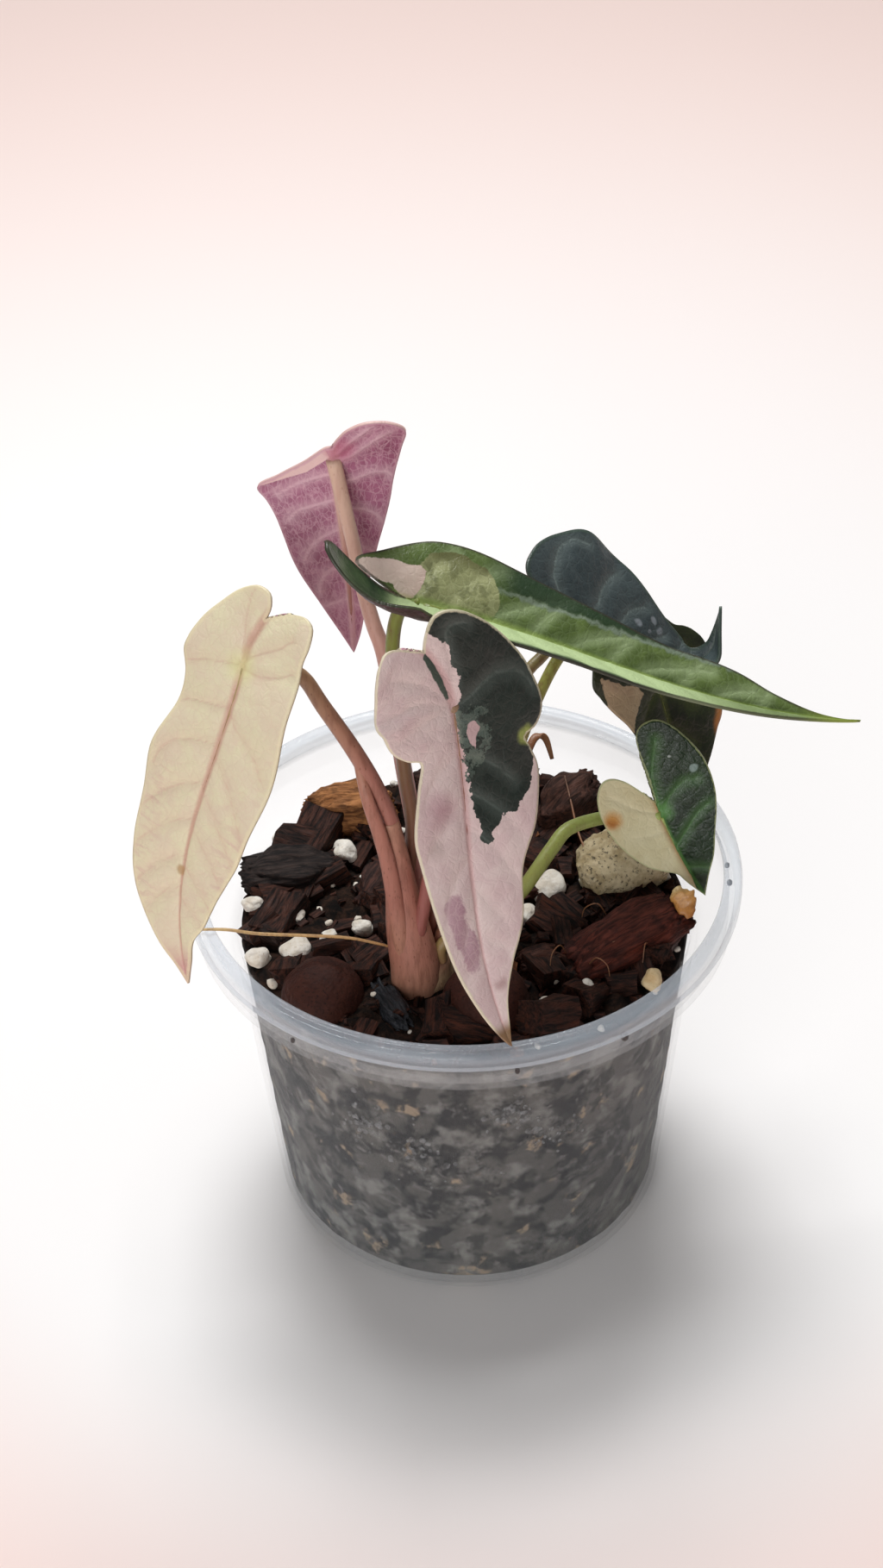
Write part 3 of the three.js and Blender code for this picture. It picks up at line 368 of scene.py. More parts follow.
# Points of a blade, in millimetres, with an extra rise square to its surface
def blade_points(leaf, x, y, extra):
    p, t, n, a = rib_frames(midrib(leaf), y)
    k = (x > 0).astype(int)
    wide = np.abs(x)
    fold = bend_at(leaf["fold"], x, y)
    curl = bend_at(leaf["curl"], x, y) / 12
    flat = (np.sin(fold + curl * wide) - np.sin(fold)) / curl
    rise = (np.cos(fold) - np.cos(fold + curl * wide)) / curl
    rise += np.array(leaf["wave"])[k] * (wide / 12) ** 2 * np.sin(6 * np.pi * y / leaf["length"] + k * 1.7)
    rise += np.array(leaf["lift"])[k] * (np.maximum(0, -y) / leaf["back"]) ** 2
    side = np.sign(x)
    lean = fold + curl * wide
    flat = flat - np.sin(lean) * extra
    rise = rise + np.cos(lean) * extra
    return p + (side * flat)[:, None] * a + rise[:, None] * n


# Distance from each point (x, y) to the nearest of some lines
def near_lines(x, y, lines):
    best = np.full(len(x), 99.0)
    for line in lines:
        for (x0, y0), (x1, y1) in zip(line, line[1:]):
            dx, dy = x1 - x0, y1 - y0
            s = np.clip(((x - x0) * dx + (y - y0) * dy) / max(dx * dx + dy * dy, 1e-9), 0, 1)
            best = np.minimum(best, np.hypot(x - x0 - s * dx, y - y0 - s * dy))
    return best


# Signed distance to a ring of points: negative inside
def ring_distance(x, y, ring):
    closed = list(ring) + [ring[0]]
    inside = np.zeros(len(x), bool)
    for (x0, y0), (x1, y1) in zip(closed, closed[1:]):
        if y0 != y1:
            inside ^= ((y0 > y) != (y1 > y)) & (x < (x1 - x0) * (y - y0) / (y1 - y0) + x0)
    return near_lines(x, y, [closed]) * np.where(inside, -1, 1)


# The veins of a leaf, drawn smoothly
def vein_lines(name):
    lines = [smooth_line(line, np.linspace(0, 1, 5 * len(line))) for line in VEINS[name]]
    for side, starts in zip((-1, 1), SIDE_VEINS[name]):
        for start in starts:
            lines.append([(side * x, start + 0.42 * x + 0.045 * x * x) for x in (0.2, 2, 4, 6, 8, 10, 12)])
    return lines


def finished_mesh(name, bm, smooth=True):
    mesh = bpy.data.meshes.new(name)
    bm.to_mesh(mesh)
    bm.free()
    for face in mesh.polygons:
        face.use_smooth = smooth
    return mesh


# Makes an object of a shape, dresses it and puts it on the plant
def place_piece(name, bm, finishes, nodes=(), smooth=True):
    mesh = finished_mesh(name, bm, smooth)
    piece = bpy.data.objects.new(name, mesh)
    bpy.context.scene.collection.objects.link(piece)
    for finish in finishes:
        mesh.materials.append(finish)
    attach(piece, "root")
    if nodes:
        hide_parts(*nodes)
    return piece


# How far a blade bulges between its veins
QUILT = {"leaf_small": 0.05}


# A blade: a grid laid from the midrib out to both margins, raised between its veins
def make_blade(leaf, finishes, groove=0.16):
    name = leaf["name"]
    quilt = QUILT.get(name, 0.3)
    bm = bmesh.new()
    bmesh.ops.create_grid(bm, x_segments=2 * ACROSS, y_segments=ALONG, size=1)
    bm.verts.ensure_lookup_table()
    grid = np.array([v.co for v in bm.verts])
    s, u = np.abs(grid[:, 0]), (grid[:, 1] + 1) / 2
    inner = leaf["notch"] + (leaf["length"] - leaf["notch"]) * u ** ROW_POWER
    left, right = (margin_points(leaf[side], u) for side in ("left", "right"))
    edge = np.where((grid[:, 0] < 0)[:, None], left * (-1, 1), right)
    x = edge[:, 0] * s
    y = inner + (edge[:, 1] - inner) * s
    fields = {"across": x, "along": y}
    fields["vein"] = near_lines(x, y, vein_lines(name))
    ring = [(-a, b) for a, b in smooth_line(leaf["left"], np.linspace(0, 1, 90))]
    ring += [tuple(q) for q in smooth_line(leaf["right"], np.linspace(1, 0, 90))]
    fields["margin"] = near_lines(x, y, [ring])
    for patch, points in PATCHES[name].items():
        fields[patch] = ring_distance(x, y, points)
    vein = np.minimum(fields["vein"], np.abs(x))
    room = np.clip(fields["margin"] / 3, 0, 1)
    extra = quilt * (1 - np.exp(-(vein / 2.2) ** 2)) * room
    extra -= groove * np.exp(-(vein / 0.45) ** 2) * np.clip(fields["margin"] / 1.5, 0, 1)
    extra += np.array([0.12 * noise.noise(Vector((a * 0.5, b * 0.5, len(name)))) for a,
                       b in zip(x, y)]) * room
    for vert, co in zip(bm.verts, blade_points(leaf, x, y, extra)):
        vert.co = co * MM
    layers = {key: bm.verts.layers.float.new(key) for key in fields}
    for key, layer in layers.items():
        for vert, value in zip(bm.verts, fields[key]):
            vert[layer] = value
    bmesh.ops.remove_doubles(bm, verts=bm.verts, dist=0.02 * MM)
    bmesh.ops.recalc_face_normals(bm, faces=bm.faces)
    bm.faces.ensure_lookup_table()
    across, along = layers["across"], layers["along"]
    middle = min(bm.faces, key=lambda f: abs(f.verts[0][across]) + abs(f.verts[0][along] - 8))
    top = Vector(rib_frames(midrib(leaf), np.array([8.0]))[2][0])
    if middle.normal.dot(top) < 0:
        bmesh.ops.reverse_faces(bm, faces=bm.faces)
    piece = place_piece(name, bm, finishes, (name,))
    wall = piece.modifiers.new("thickness", "SOLIDIFY")
    wall.thickness = BLADE * MM
    wall.offset = 0
    wall.material_offset = 1
    return piece


# A round strand along a smooth path: one ring of edges extruded from place to place
def strand(bm, points, radii, sides=16, steps=50, flat=1.0, wide=Vector((1, 0, 0))):
    shares = np.linspace(0, 1, steps + 1)
    path = [Vector(q) for q in smooth_line(points, shares)]
    sizes = smooth_line(np.asarray(radii, float)[:, None], shares)[:, 0]
    run = bm.verts.layers.float.get("run") or bm.verts.layers.float.new("run")

    def station(k):
        way = (path[min(k + 1, steps)] - path[max(k - 1, 0)]).normalized()
        across = (wide - way * wide.dot(way)).normalized()
        axes = Matrix((across * sizes[k], way.cross(across) * sizes[k] * flat, way)).transposed().to_4x4()
        return Matrix.Translation(path[k] * MM) @ axes @ Matrix.Diagonal((MM, MM, MM, 1))

    ring = bmesh.ops.create_circle(bm, cap_ends=False, segments=sides, radius=1)["verts"]
    edges = list({e for vert in ring for e in vert.link_edges})
    bmesh.ops.transform(bm, matrix=station(0), verts=ring)
    for vert in ring:
        vert[run] = 0
    bmesh.ops.edgeloop_fill(bm, edges=edges)
    for k in range(1, steps + 1):
        grown = bmesh.ops.extrude_edge_only(bm, edges=edges)["geom"]
        verts = [g for g in grown if isinstance(g, bmesh.types.BMVert)]
        edges = [g for g in grown if isinstance(g, bmesh.types.BMEdge) and all(v in verts for v in g.verts)]
        bmesh.ops.transform(bm, matrix=station(k) @ station(k - 1).inverted(), verts=verts)
        for vert in verts:
            vert[run] = shares[k]
    bmesh.ops.edgeloop_fill(bm, edges=edges)


# Nodes of a finish

class Finish:
    """One procedural material and short ways to add its nodes."""

    def __init__(self, name, rough=0.5):
        self.material = bpy.data.materials.new(name)
        self.material.use_nodes = True
        self.tree = self.material.node_tree
        self.shader = self.tree.nodes["Principled BSDF"]
        self.shader.inputs["Roughness"].default_value = rough
        place = self.add("ShaderNodeTexCoord").outputs["Object"]
        self.place = self.vector("SCALE", place, 1 / MM)

    def add(self, kind, **settings):
        made = self.tree.nodes.new(kind)
        for key, value in settings.items():
            setattr(made, key, value)
        return made

    def feed(self, socket, value):
        if isinstance(value, bpy.types.NodeSocket):
            self.tree.links.new(value, socket)
        elif hasattr(socket.default_value, "__len__") and len(socket.default_value) == 4:
            socket.default_value = (*value, 1)
        else:
            socket.default_value = value

    def vector(self, action, a, b):
        made = self.add("ShaderNodeVectorMath", operation=action)
        self.feed(made.inputs[0], a)
        self.feed(made.inputs["Scale"] if action == "SCALE" else made.inputs[1], b)
        return made.outputs[0]

    def sum(self, action, a, b=0.0):
        made = self.add("ShaderNodeMath", operation=action)
        self.feed(made.inputs[0], a)
        self.feed(made.inputs[1], b)
        return made.outputs[0]

    def times(self, a, b):
        return self.sum("MULTIPLY", a, b)

    def plus(self, a, b):
        return self.sum("ADD", a, b)

    def field(self, name):
        return self.add("ShaderNodeAttribute", attribute_name=name).outputs["Fac"]

    def grain(self, place, scale, detail=3, rough=0.55, twist=0.0):
        made = self.add("ShaderNodeTexNoise")
        self.feed(made.inputs["Vector"], place)
        for key, value in {"Scale": scale, "Detail": detail, "Roughness": rough, "Distortion": twist}.items():
            self.feed(made.inputs[key], value)
        return made.outputs["Fac"]

    def cells(self, place, scale, feature="F1"):
        made = self.add("ShaderNodeTexVoronoi", feature=feature)
        self.feed(made.inputs["Vector"], place)
        self.feed(made.inputs["Scale"], scale)
        return made.outputs["Distance"]

    def fade(self, value, start, end, low=0.0, high=1.0):
        made = self.add("ShaderNodeMapRange", interpolation_type="SMOOTHSTEP")
        self.feed(made.inputs["Value"], value)
        for key, amount in zip(("From Min", "From Max", "To Min", "To Max"), (start, end, low, high)):
            self.feed(made.inputs[key], amount)
        return made.outputs["Result"]

    def mix(self, share, a, b, blend="MIX"):
        made = self.add("ShaderNodeMix", data_type="RGBA", blend_type=blend)
        self.feed(made.inputs[0], share)
        self.feed(made.inputs[6], a)
        self.feed(made.inputs[7], b)
        return made.outputs[2]

    def relief(self, height, depth, strength=1.0):
        made = self.add("ShaderNodeBump")
        self.feed(made.inputs["Height"], height)
        made.inputs["Distance"].default_value = depth * MM
        made.inputs["Strength"].default_value = strength
        self.feed(self.shader.inputs["Normal"], made.outputs["Normal"])

    def colour(self, value):
        self.feed(self.shader.inputs["Base Color"], value)

    def roughness(self, value):
        self.feed(self.shader.inputs["Roughness"], value)

    def value(self, name, amount):
        self.shader.inputs[name].default_value = amount


class LeafSkin(Finish):
    """A leaf's skin: mottled ground, main veins, a fine net between them and a margin line."""

    def __init__(self, name, rough=0.42):
        super().__init__(name, rough)
        flat = self.add("ShaderNodeCombineXYZ")
        self.feed(flat.inputs["X"], self.field("across"))
        self.feed(flat.inputs["Y"], self.field("along"))
        self.flat = flat.outputs[0]
        self.vein = self.field("vein")
        self.off_rib = self.sum("ABSOLUTE", self.field("across"))
        self.edge = self.field("margin")
        wander = self.vector("SCALE", self.vector("SUBTRACT", self.colour_noise(self.flat, 0.35),
                                                  (0.5,) * 3), 1.6)
        self.loose = self.vector("ADD", self.flat, wander)
        self.net = self.cells(self.loose, 0.62, "DISTANCE_TO_EDGE")
        self.fine_net = self.cells(self.loose, 1.9, "DISTANCE_TO_EDGE")
        self.mottle = self.grain(self.flat, 0.16, 4, 0.6, 0.6)
        self.speck = self.grain(self.flat, 1.1, 3, 0.6)

    def colour_noise(self, place, scale):
        made = self.add("ShaderNodeTexNoise")
        self.feed(made.inputs["Vector"], place)
        made.inputs["Scale"].default_value = scale
        return made.outputs["Color"]

    def skin(self, ground, shade, vein, line=0.8, glow=0.3, net=0.2, fine=0.1, rib=None, rib_wide=1.0):
        col = self.mix(self.fade(self.mottle, 0.35, 0.68), ground, shade)
        col = self.mix(self.fade(self.speck, 0.4, 0.75, 0, 0.35), col, shade)
        col = self.mix(self.fade(self.fine_net, 0.0, 0.05, fine, 0), col, vein)
        col = self.mix(self.fade(self.net, 0.0, 0.09, net, 0), col, vein)
        col = self.mix(self.fade(self.vein, 0.2, 2.2, glow, 0), col, vein)
        col = self.mix(self.fade(self.vein, 0.05, 0.42, line, 0), col, vein)
        rib = rib or vein
        wide = self.times(self.fade(self.field("along"), -6, 52, 1.25, 0.45), rib_wide)
        share = self.sum("DIVIDE", self.off_rib, wide)
        return self.mix(self.fade(share, 0.25, 1.0, 0.85, 0), col, rib)

    def patch(self, base, name, colour, ragged=0.5, soft=0.12, grain=0.9, share=1.0, shift=0.0):
        rough = self.times(self.sum("SUBTRACT", self.grain(self.flat, grain, 5, 0.62), 0.5), 2 * ragged)
        edge = self.plus(self.plus(self.field(name), rough), shift)
        return self.mix(self.fade(edge, -soft, soft, share, 0), base, colour)

    def edged(self, base, colour, wide=0.7, share=0.8):
        wave = self.plus(self.edge, self.times(self.sum("SUBTRACT", self.speck, 0.5), 0.5))
        return self.mix(self.fade(wave, wide * 0.4, wide, share, 0), base, colour)

    def spot(self, base, at, radius, colour, share=1.0, soft=0.5):
        off = self.vector("SUBTRACT", self.loose, (*at, 0))
        made = self.add("ShaderNodeVectorMath", operation="LENGTH")
        self.feed(made.inputs[0], off)
        near = self.fade(made.outputs["Value"], radius * (1 - soft), radius * (1 + soft), share, 0)
        return self.mix(near, base, colour)

    def finish(self, colour, rough=(0.36, 0.5)):
        self.colour(colour)
        self.roughness(self.fade(self.speck, 0.3, 0.7, *rough))
        net = self.fade(self.net, 0.0, 0.2)
        fine = self.fade(self.fine_net, 0.0, 0.12)
        self.relief(self.plus(net, self.times(fine, 0.4)), 0.05, 0.7)
        return self.material


# Leaf skins

CREAM = (0.78, 0.73, 0.50)
CREAM_PINK = (0.76, 0.66, 0.49)
BLUSH = (0.66, 0.45, 0.38)
LEAF_PINK = (0.74, 0.60, 0.575)
PALE_PINK = (0.78, 0.63, 0.60)
MAUVE = (0.40, 0.135, 0.235)
INK_GREEN = (0.010, 0.017, 0.013)
GREY_GREEN = (0.085, 0.115, 0.095)
LIME = (0.36, 0.48, 0.14)
PURPLE = (0.06, 0.016, 0.028)


def under_skin(name, ground, shade, vein):
    skin = LeafSkin(name)
    col = skin.skin(ground, shade, vein, line=0.6, glow=0.3, net=0.3, fine=0.15)
    return skin.finish(col)


def cream_skin():
    skin = LeafSkin("cream leaf")
    col = skin.skin(CREAM, CREAM_PINK, (0.70, 0.50, 0.38), line=0.5, glow=0.18, net=0.16, fine=0.06,
                    rib=(0.60, 0.36, 0.27), rib_wide=1.1)
    streak = skin.vector("MULTIPLY", skin.loose, (0.10, 0.55, 1))
    far = skin.fade(skin.off_rib, 3, 9)
    low = skin.fade(skin.field("along"), 14, 30)
    blush = skin.times(skin.fade(skin.grain(streak, 1.3, 3), 0.48, 0.66), skin.times(far, low))
    col = skin.mix(skin.times(blush, 0.5), col, BLUSH)
    col = skin.spot(col, (0.5, 39), 0.9, (0.42, 0.24, 0.08), 0.75, 0.5)
    col = skin.spot(col, (0, 0), 2.4, (0.74, 0.76, 0.34), 0.55, 0.8)
    col = skin.mix(skin.fade(skin.field("along"), 51, 58), col, (0.62, 0.33, 0.30))
    col = skin.edged(col, (0.84, 0.76, 0.50), 0.8, 0.6)
    return skin.finish(col)


def mauve_skin():
    skin = LeafSkin("mauve underside")
    streak = skin.vector("MULTIPLY", skin.loose, (1.5, 0.35, 1))
    lines = skin.cells(streak, 0.8, "DISTANCE_TO_EDGE")
    col = skin.skin(MAUVE, (0.29, 0.080, 0.155), (0.68, 0.43, 0.50), line=0.95, glow=0.45, net=0.35, fine=0.1,
                    rib=(0.66, 0.40, 0.40), rib_wide=1.3)
    col = skin.mix(skin.fade(lines, 0, 0.10, 0.45, 0), col, (0.68, 0.43, 0.50))
    col = skin.mix(skin.fade(skin.field("along"), 24, 44, 0, 0.35), col, (0.50, 0.22, 0.30))
    col = skin.patch(col, "rolled", (0.78, 0.54, 0.52), 0.1, 0.1)
    col = skin.spot(col, (1.2, -2.6), 2.6, (0.45, 0.08, 0.17), 0.6, 0.6)
    col = skin.edged(col, (0.62, 0.34, 0.42), 0.6, 0.7)
    return skin.finish(col)


def green_skin():
    skin = LeafSkin("green leaf", 0.38)
    across, along = skin.field("across"), skin.field("along")
    grass = (0.36, 0.46, 0.24)
    col = skin.skin((0.125, 0.185, 0.048), (0.075, 0.115, 0.028), grass, line=0.75, glow=0.5, net=0.12,
                    fine=0.1,
                    rib=LIME, rib_wide=1.3)
    band = skin.plus(skin.off_rib, skin.times(skin.grain(skin.flat, 0.5, 4), 2.4))
    teal = skin.fade(along, 8, 18)
    col = skin.mix(skin.times(skin.fade(band, 6.0, 8.0, 0, 0.9), teal), col, (0.016, 0.040, 0.020))
    # A pale line along the curled far margin, at the inner edge of the dark band, is a painted highlight
    painted_ridge_highlight = skin.times(skin.fade(band, 6.3, 7.0), skin.fade(band, 7.0, 7.7, 1, 0))
    col = skin.mix(skin.times(painted_ridge_highlight, skin.times(teal, 0.6)), col, (0.26, 0.32, 0.26))
    near = skin.times(skin.fade(across, 0.0, 0.4), skin.fade(across, 5.4, 7.4, 1, 0))
    run = skin.fade(along, 40, 66, 1, 0.25)
    col = skin.mix(skin.times(near, run), col, (0.52, 0.66, 0.34))
    hook = skin.times(skin.fade(across, 0.1, 0.6), skin.fade(along, -7.5, -3.5, 1, 0))
    col = skin.mix(hook, col, skin.mix(skin.fade(skin.mottle, 0.35, 0.65), (0.020, 0.050, 0.018),
                                       (0.065, 0.12, 0.045)))
    lime = skin.skin((0.36, 0.38, 0.18), (0.27, 0.29, 0.13), (0.52, 0.55, 0.30), line=0.4, glow=0.2,
                     net=0.35, fine=0.3,
                     rib=LIME, rib_wide=1.3)
    olive = skin.mix(skin.fade(skin.off_rib, 6.5, 9.5), lime, (0.13, 0.135, 0.05))
    olive = skin.mix(skin.fade(skin.grain(skin.flat, 0.35, 4), 0.5, 0.62, 0, 0.6), olive, (0.13, 0.14, 0.055))
    col = skin.patch(col, "lime", olive, 0.5, 0.12, 0.8)
    cream = skin.skin((0.86, 0.70, 0.60), (0.82, 0.64, 0.56), (0.68, 0.44, 0.40), line=0.5, glow=0.2, net=0.1,
                      fine=0.05, rib=(0.7, 0.6, 0.35))
    col = skin.patch(col, "cream", cream, 0.5, 0.1, 1.2)
    col = skin.edged(col, (0.04, 0.03, 0.025), 0.45, 0.7)
    col = skin.mix(skin.fade(along, 70, 80), col, (0.26, 0.33, 0.06))
    return skin.finish(col, (0.3, 0.42))


def centre_skin():
    skin = LeafSkin("pink and black leaf")
    col = skin.skin(LEAF_PINK, (0.66, 0.49, 0.49), PALE_PINK, line=0.5, glow=0.3, net=0.14, fine=0.08,
                    rib=(0.60, 0.38, 0.37), rib_wide=1.1)
    mauve = skin.skin((0.38, 0.19, 0.25), (0.46, 0.27, 0.32), (0.62, 0.44, 0.46), net=0.4, fine=0.5)
    col = skin.patch(col, "mauve", mauve, 0.9, 0.35, 1.2, 0.9)
    col = skin.spot(col, (5.2, 17), 2.6, (0.42, 0.20, 0.25), 0.6, 0.8)
    col = skin.spot(col, (6.6, 23.4), 1.4, (0.36, 0.26, 0.24), 0.45, 0.9)
    col = skin.spot(col, (-2, 47.6), 1.0, (0.36, 0.2, 0.2), 0.6, 0.7)
    dark = skin.skin(INK_GREEN, (0.019, 0.028, 0.022), (0.10, 0.125, 0.11), line=0.65, glow=0.35, net=0.07,
                     fine=0.05,
                     rib=(0.16, 0.17, 0.13))
    col = skin.patch(col, "dark", dark, 0.95, 0.05, 0.8)
    grey = skin.skin(GREY_GREEN, (0.05, 0.07, 0.057), (0.17, 0.20, 0.16), line=0.5, glow=0.4, net=0.3,
                     fine=0.3)
    grey = skin.mix(skin.fade(skin.grain(skin.flat, 0.5, 5, 0.7), 0.50, 0.56, 0, 0.9), grey, INK_GREEN)
    inside = skin.sum("MAXIMUM", skin.field("grey"), skin.field("dark"))
    rough = skin.times(skin.sum("SUBTRACT", skin.grain(skin.flat, 0.45, 5, 0.7), 0.5), 6.5)
    col = skin.mix(skin.fade(skin.plus(inside, rough), -0.1, 0.1, 1, 0), col, grey)
    col = skin.patch(col, "strip", (0.06, 0.085, 0.065), 0.3, 0.1)
    col = skin.patch(col, "fleck", (0.52, 0.36, 0.36), 0.3, 0.06)
    col = skin.spot(col, (-12.2, 8), 1.5, (0.33, 0.38, 0.09), 0.85, 0.4)
    col = skin.edged(col, (0.74, 0.68, 0.48), 0.42, 0.8)
    dry = skin.fade(skin.field("along"), 53, 55.5)
    col = skin.mix(dry, col, (0.24, 0.14, 0.07))
    return skin.finish(col)


def dark_skin():
    skin = LeafSkin("blue green leaf", 0.4)
    col = skin.skin((0.058, 0.080, 0.083), (0.036, 0.052, 0.056), (0.20, 0.25, 0.235), line=0.65, glow=0.25,
                    net=0.07,
                    fine=0.10, rib=(0.12, 0.16, 0.14))
    for at, wide in (((-3.5, 16.2), 0.7), ((-5.4, 19.6), 0.6), ((-4, 21.4), 0.7), ((-3, 18.8), 0.4)):
        col = skin.spot(col, at, wide, (0.30, 0.33, 0.36), 0.7, 0.4)
    col = skin.edged(col, (0.045, 0.075, 0.05), 0.8, 0.6)
    return skin.finish(col, (0.34, 0.46))


def back_skin():
    skin = LeafSkin("olive black leaf", 0.38)
    col = skin.skin((0.022, 0.032, 0.010), (0.009, 0.013, 0.006), (0.07, 0.085, 0.02), line=0.4, glow=0.3,
                    net=0.1,
                    fine=0.05)
    side = skin.times(skin.fade(skin.field("across"), -8, -9.5), skin.fade(skin.edge, 0.7, 2.0, 1, 0))
    side = skin.times(side, skin.fade(skin.field("along"), 5, 8))
    col = skin.mix(skin.times(side, 0.85), col, (0.45, 0.17, 0.035))
    pink = skin.skin((0.44, 0.33, 0.20), (0.37, 0.26, 0.16), (0.50, 0.40, 0.26), line=0.3)
    col = skin.patch(col, "pink", pink, 0.6, 0.1, 1.0, 1.0, 0.5)
    return skin.finish(col, (0.3, 0.42))


def small_skin():
    skin = LeafSkin("small leaf", 0.3)
    bright = (0.10, 0.24, 0.07)
    col = skin.skin((0.010, 0.030, 0.008), (0.006, 0.018, 0.006), bright, line=0.4, glow=0.3, net=0.015,
                    fine=0.0,
                    rib=(0.08, 0.2, 0.05), rib_wide=0.7)
    col = skin.spot(col, (-0.8, -0.6), 1.5, (0.12, 0.32, 0.08), 0.7, 0.8)
    col = skin.spot(col, (-8.6, -6.4), 0.8, (0.24, 0.33, 0.30), 0.8, 0.3)
    col = skin.spot(col, (-5.6, -10), 0.3, (0.4, 0.45, 0.42), 0.8, 0.4)
    cream = skin.skin((0.76, 0.71, 0.45), (0.68, 0.61, 0.36), (0.80, 0.75, 0.52), line=0.3, glow=0.2,
                      net=0.15, fine=0.1,
                      rib=(0.5, 0.32, 0.14), rib_wide=0.6)
    cream = skin.spot(cream, (8.6, -3), 1.4, (0.60, 0.27, 0.05), 0.9, 0.8)
    cream = skin.spot(cream, (8.9, -2.4), 0.7, (0.42, 0.14, 0.03), 0.7, 0.7)
    cream = skin.mix(skin.fade(skin.off_rib, 0.3, 1.4, 0.5, 0), cream, (0.42, 0.24, 0.09))
    col = skin.patch(col, "cream", cream, 0.1, 0.06)
    col = skin.edged(col, (0.45, 0.5, 0.25), 0.3, 0.6)
    skin.value("Specular IOR Level", 0.3)
    return skin.finish(col, (0.26, 0.36))


RED_BROWN = (0.16, 0.06, 0.035)


def stalk_skin(name, colours, speck=RED_BROWN, rough=0.42):
    """colours: (share of the run from the blade down, colour), in order."""
    skin = Finish(name, rough)
    ramp = skin.add("ShaderNodeValToRGB")
    while len(ramp.color_ramp.elements) < len(colours):
        ramp.color_ramp.elements.new(0.5)
    for stop, (share, colour) in zip(ramp.color_ramp.elements, colours):
        stop.position = share
        stop.color = (*colour, 1)
    skin.feed(ramp.inputs["Fac"], skin.field("run"))
    col = ramp.outputs["Color"]
    long = skin.vector("MULTIPLY", skin.place, (1.0, 1.0, 0.22))
    col = skin.mix(skin.fade(skin.grain(long, 0.9, 4, 0.6), 0.42, 0.7, 0, 0.45), col, speck)
    dash = skin.vector("MULTIPLY", skin.place, (1.0, 1.0, 0.45))
    col = skin.mix(skin.fade(skin.cells(dash, 1.25), 0.10, 0.22, 0.6, 0), col, speck)
    skin.colour(col)
    ribs = skin.vector("MULTIPLY", skin.place, (1.0, 1.0, 0.06))
    skin.relief(skin.grain(ribs, 3.0, 3), 0.10, 0.8)
    skin.roughness(skin.fade(skin.grain(skin.place, 0.8, 3), 0.3, 0.7, 0.34, 0.5))
    return skin.material


# Tub and mix finishes

def clear_plastic():
    skin = Finish("milky clear plastic", 0.16)
    height = skin.add("ShaderNodeSeparateXYZ")
    skin.feed(height.inputs[0], skin.place)
    z = height.outputs["Z"]
    haze = skin.grain(skin.vector("MULTIPLY", skin.place, (1, 1, 0.6)), 0.09, 4, 0.6)
    col = skin.mix(skin.fade(haze, 0.35, 0.65), (0.66, 0.70, 0.74), (0.76, 0.77, 0.77))
    rim = skin.fade(z, 68.2, 69.4)
    skin.colour(skin.mix(rim, col, (0.66, 0.74, 0.82)))
    collar = skin.fade(z, 61.4, 64.6)
    facing = skin.add("ShaderNodeLayerWeight")
    facing.inputs["Blend"].default_value = 0.28
    thin = skin.plus(skin.fade(haze, 0.3, 0.7, 0.003, 0.016), skin.times(collar, 0.04))
    film = skin.plus(thin, skin.times(rim, 0.24))
    edge = skin.times(facing.outputs["Facing"], 0.15)
    skin.feed(skin.shader.inputs["Alpha"], skin.sum("MINIMUM", skin.plus(film, edge), 0.9))
    skin.roughness(skin.fade(skin.grain(skin.place, 0.4, 3), 0.3, 0.7, 0.07, 0.16))
    skin.relief(skin.grain(skin.vector("MULTIPLY", skin.place, (1, 1, 0.3)), 0.2, 2), 0.05, 0.25)
    return skin.material


def mix_skin():
    skin = Finish("potting mix", 0.9)
    place = skin.place
    soft = skin.grain(place, 0.2, 5, 0.62, 0.3)
    fine = skin.grain(place, 0.45, 5, 0.65, 0.5)
    col = skin.mix(skin.fade(soft, 0.43, 0.57), (0.006, 0.005, 0.0045), (0.075, 0.070, 0.062))
    col = skin.mix(skin.fade(fine, 0.55, 0.72, 0, 0.8), col, (0.17, 0.155, 0.15))
    pale = skin.grain(skin.vector("ADD", place, (3, 5, 1)), 0.16, 5, 0.6)
    col = skin.mix(skin.fade(pale, 0.50, 0.68, 0, 0.8), col, (0.23, 0.225, 0.21))
    rust = skin.grain(skin.vector("ADD", place, (9, 2, 7)), 0.17, 5, 0.6)
    col = skin.mix(skin.fade(rust, 0.60, 0.68, 0, 0.8), col, (0.36, 0.27, 0.18))
    height = skin.add("ShaderNodeSeparateXYZ")
    skin.feed(height.inputs[0], place)
    crown = skin.fade(height.outputs["Z"], 59.2, 60.6)
    top = skin.mix(skin.fade(fine, 0.4, 0.66), (0.006, 0.005, 0.0045), (0.035, 0.018, 0.012))
    skin.value("Specular IOR Level", 0.1)
    skin.colour(skin.mix(crown, col, top))
    skin.relief(skin.grain(place, 0.9, 5, 0.7), 0.6, 1.0)
    return skin.material


def bark_skin(name, dark, light, split=0.5, rough=0.75):
    """Fibrous bark: streaks run along the chip, read from its own along and across fields."""
    skin = Finish(name, rough)
    flat = skin.add("ShaderNodeCombineXYZ")
    for axis in ("X", "Y", "Z"):
        skin.feed(flat.inputs[axis], skin.field("bark_" + axis.lower()))
    grainwise = skin.vector("MULTIPLY", flat.outputs[0], (0.16, 1.0, 1.0))
    fibre = skin.grain(grainwise, 1.3, 5, 0.65, 0.6)
    lump = skin.grain(flat.outputs[0], 0.35, 4, 0.6)
    col = skin.mix(skin.fade(fibre, 0.36, 0.66), dark, light)
    col = skin.mix(skin.fade(lump, 0.48, 0.66, 0, split), col, tuple(c * 0.3 for c in dark))
    skin.colour(col)
    skin.value("Specular IOR Level", 0.22)
    skin.relief(skin.plus(fibre, skin.times(lump, 0.5)), 0.5, 1.0)
    skin.roughness(skin.fade(fibre, 0.3, 0.7, rough + 0.1, rough - 0.2))
    return skin.material


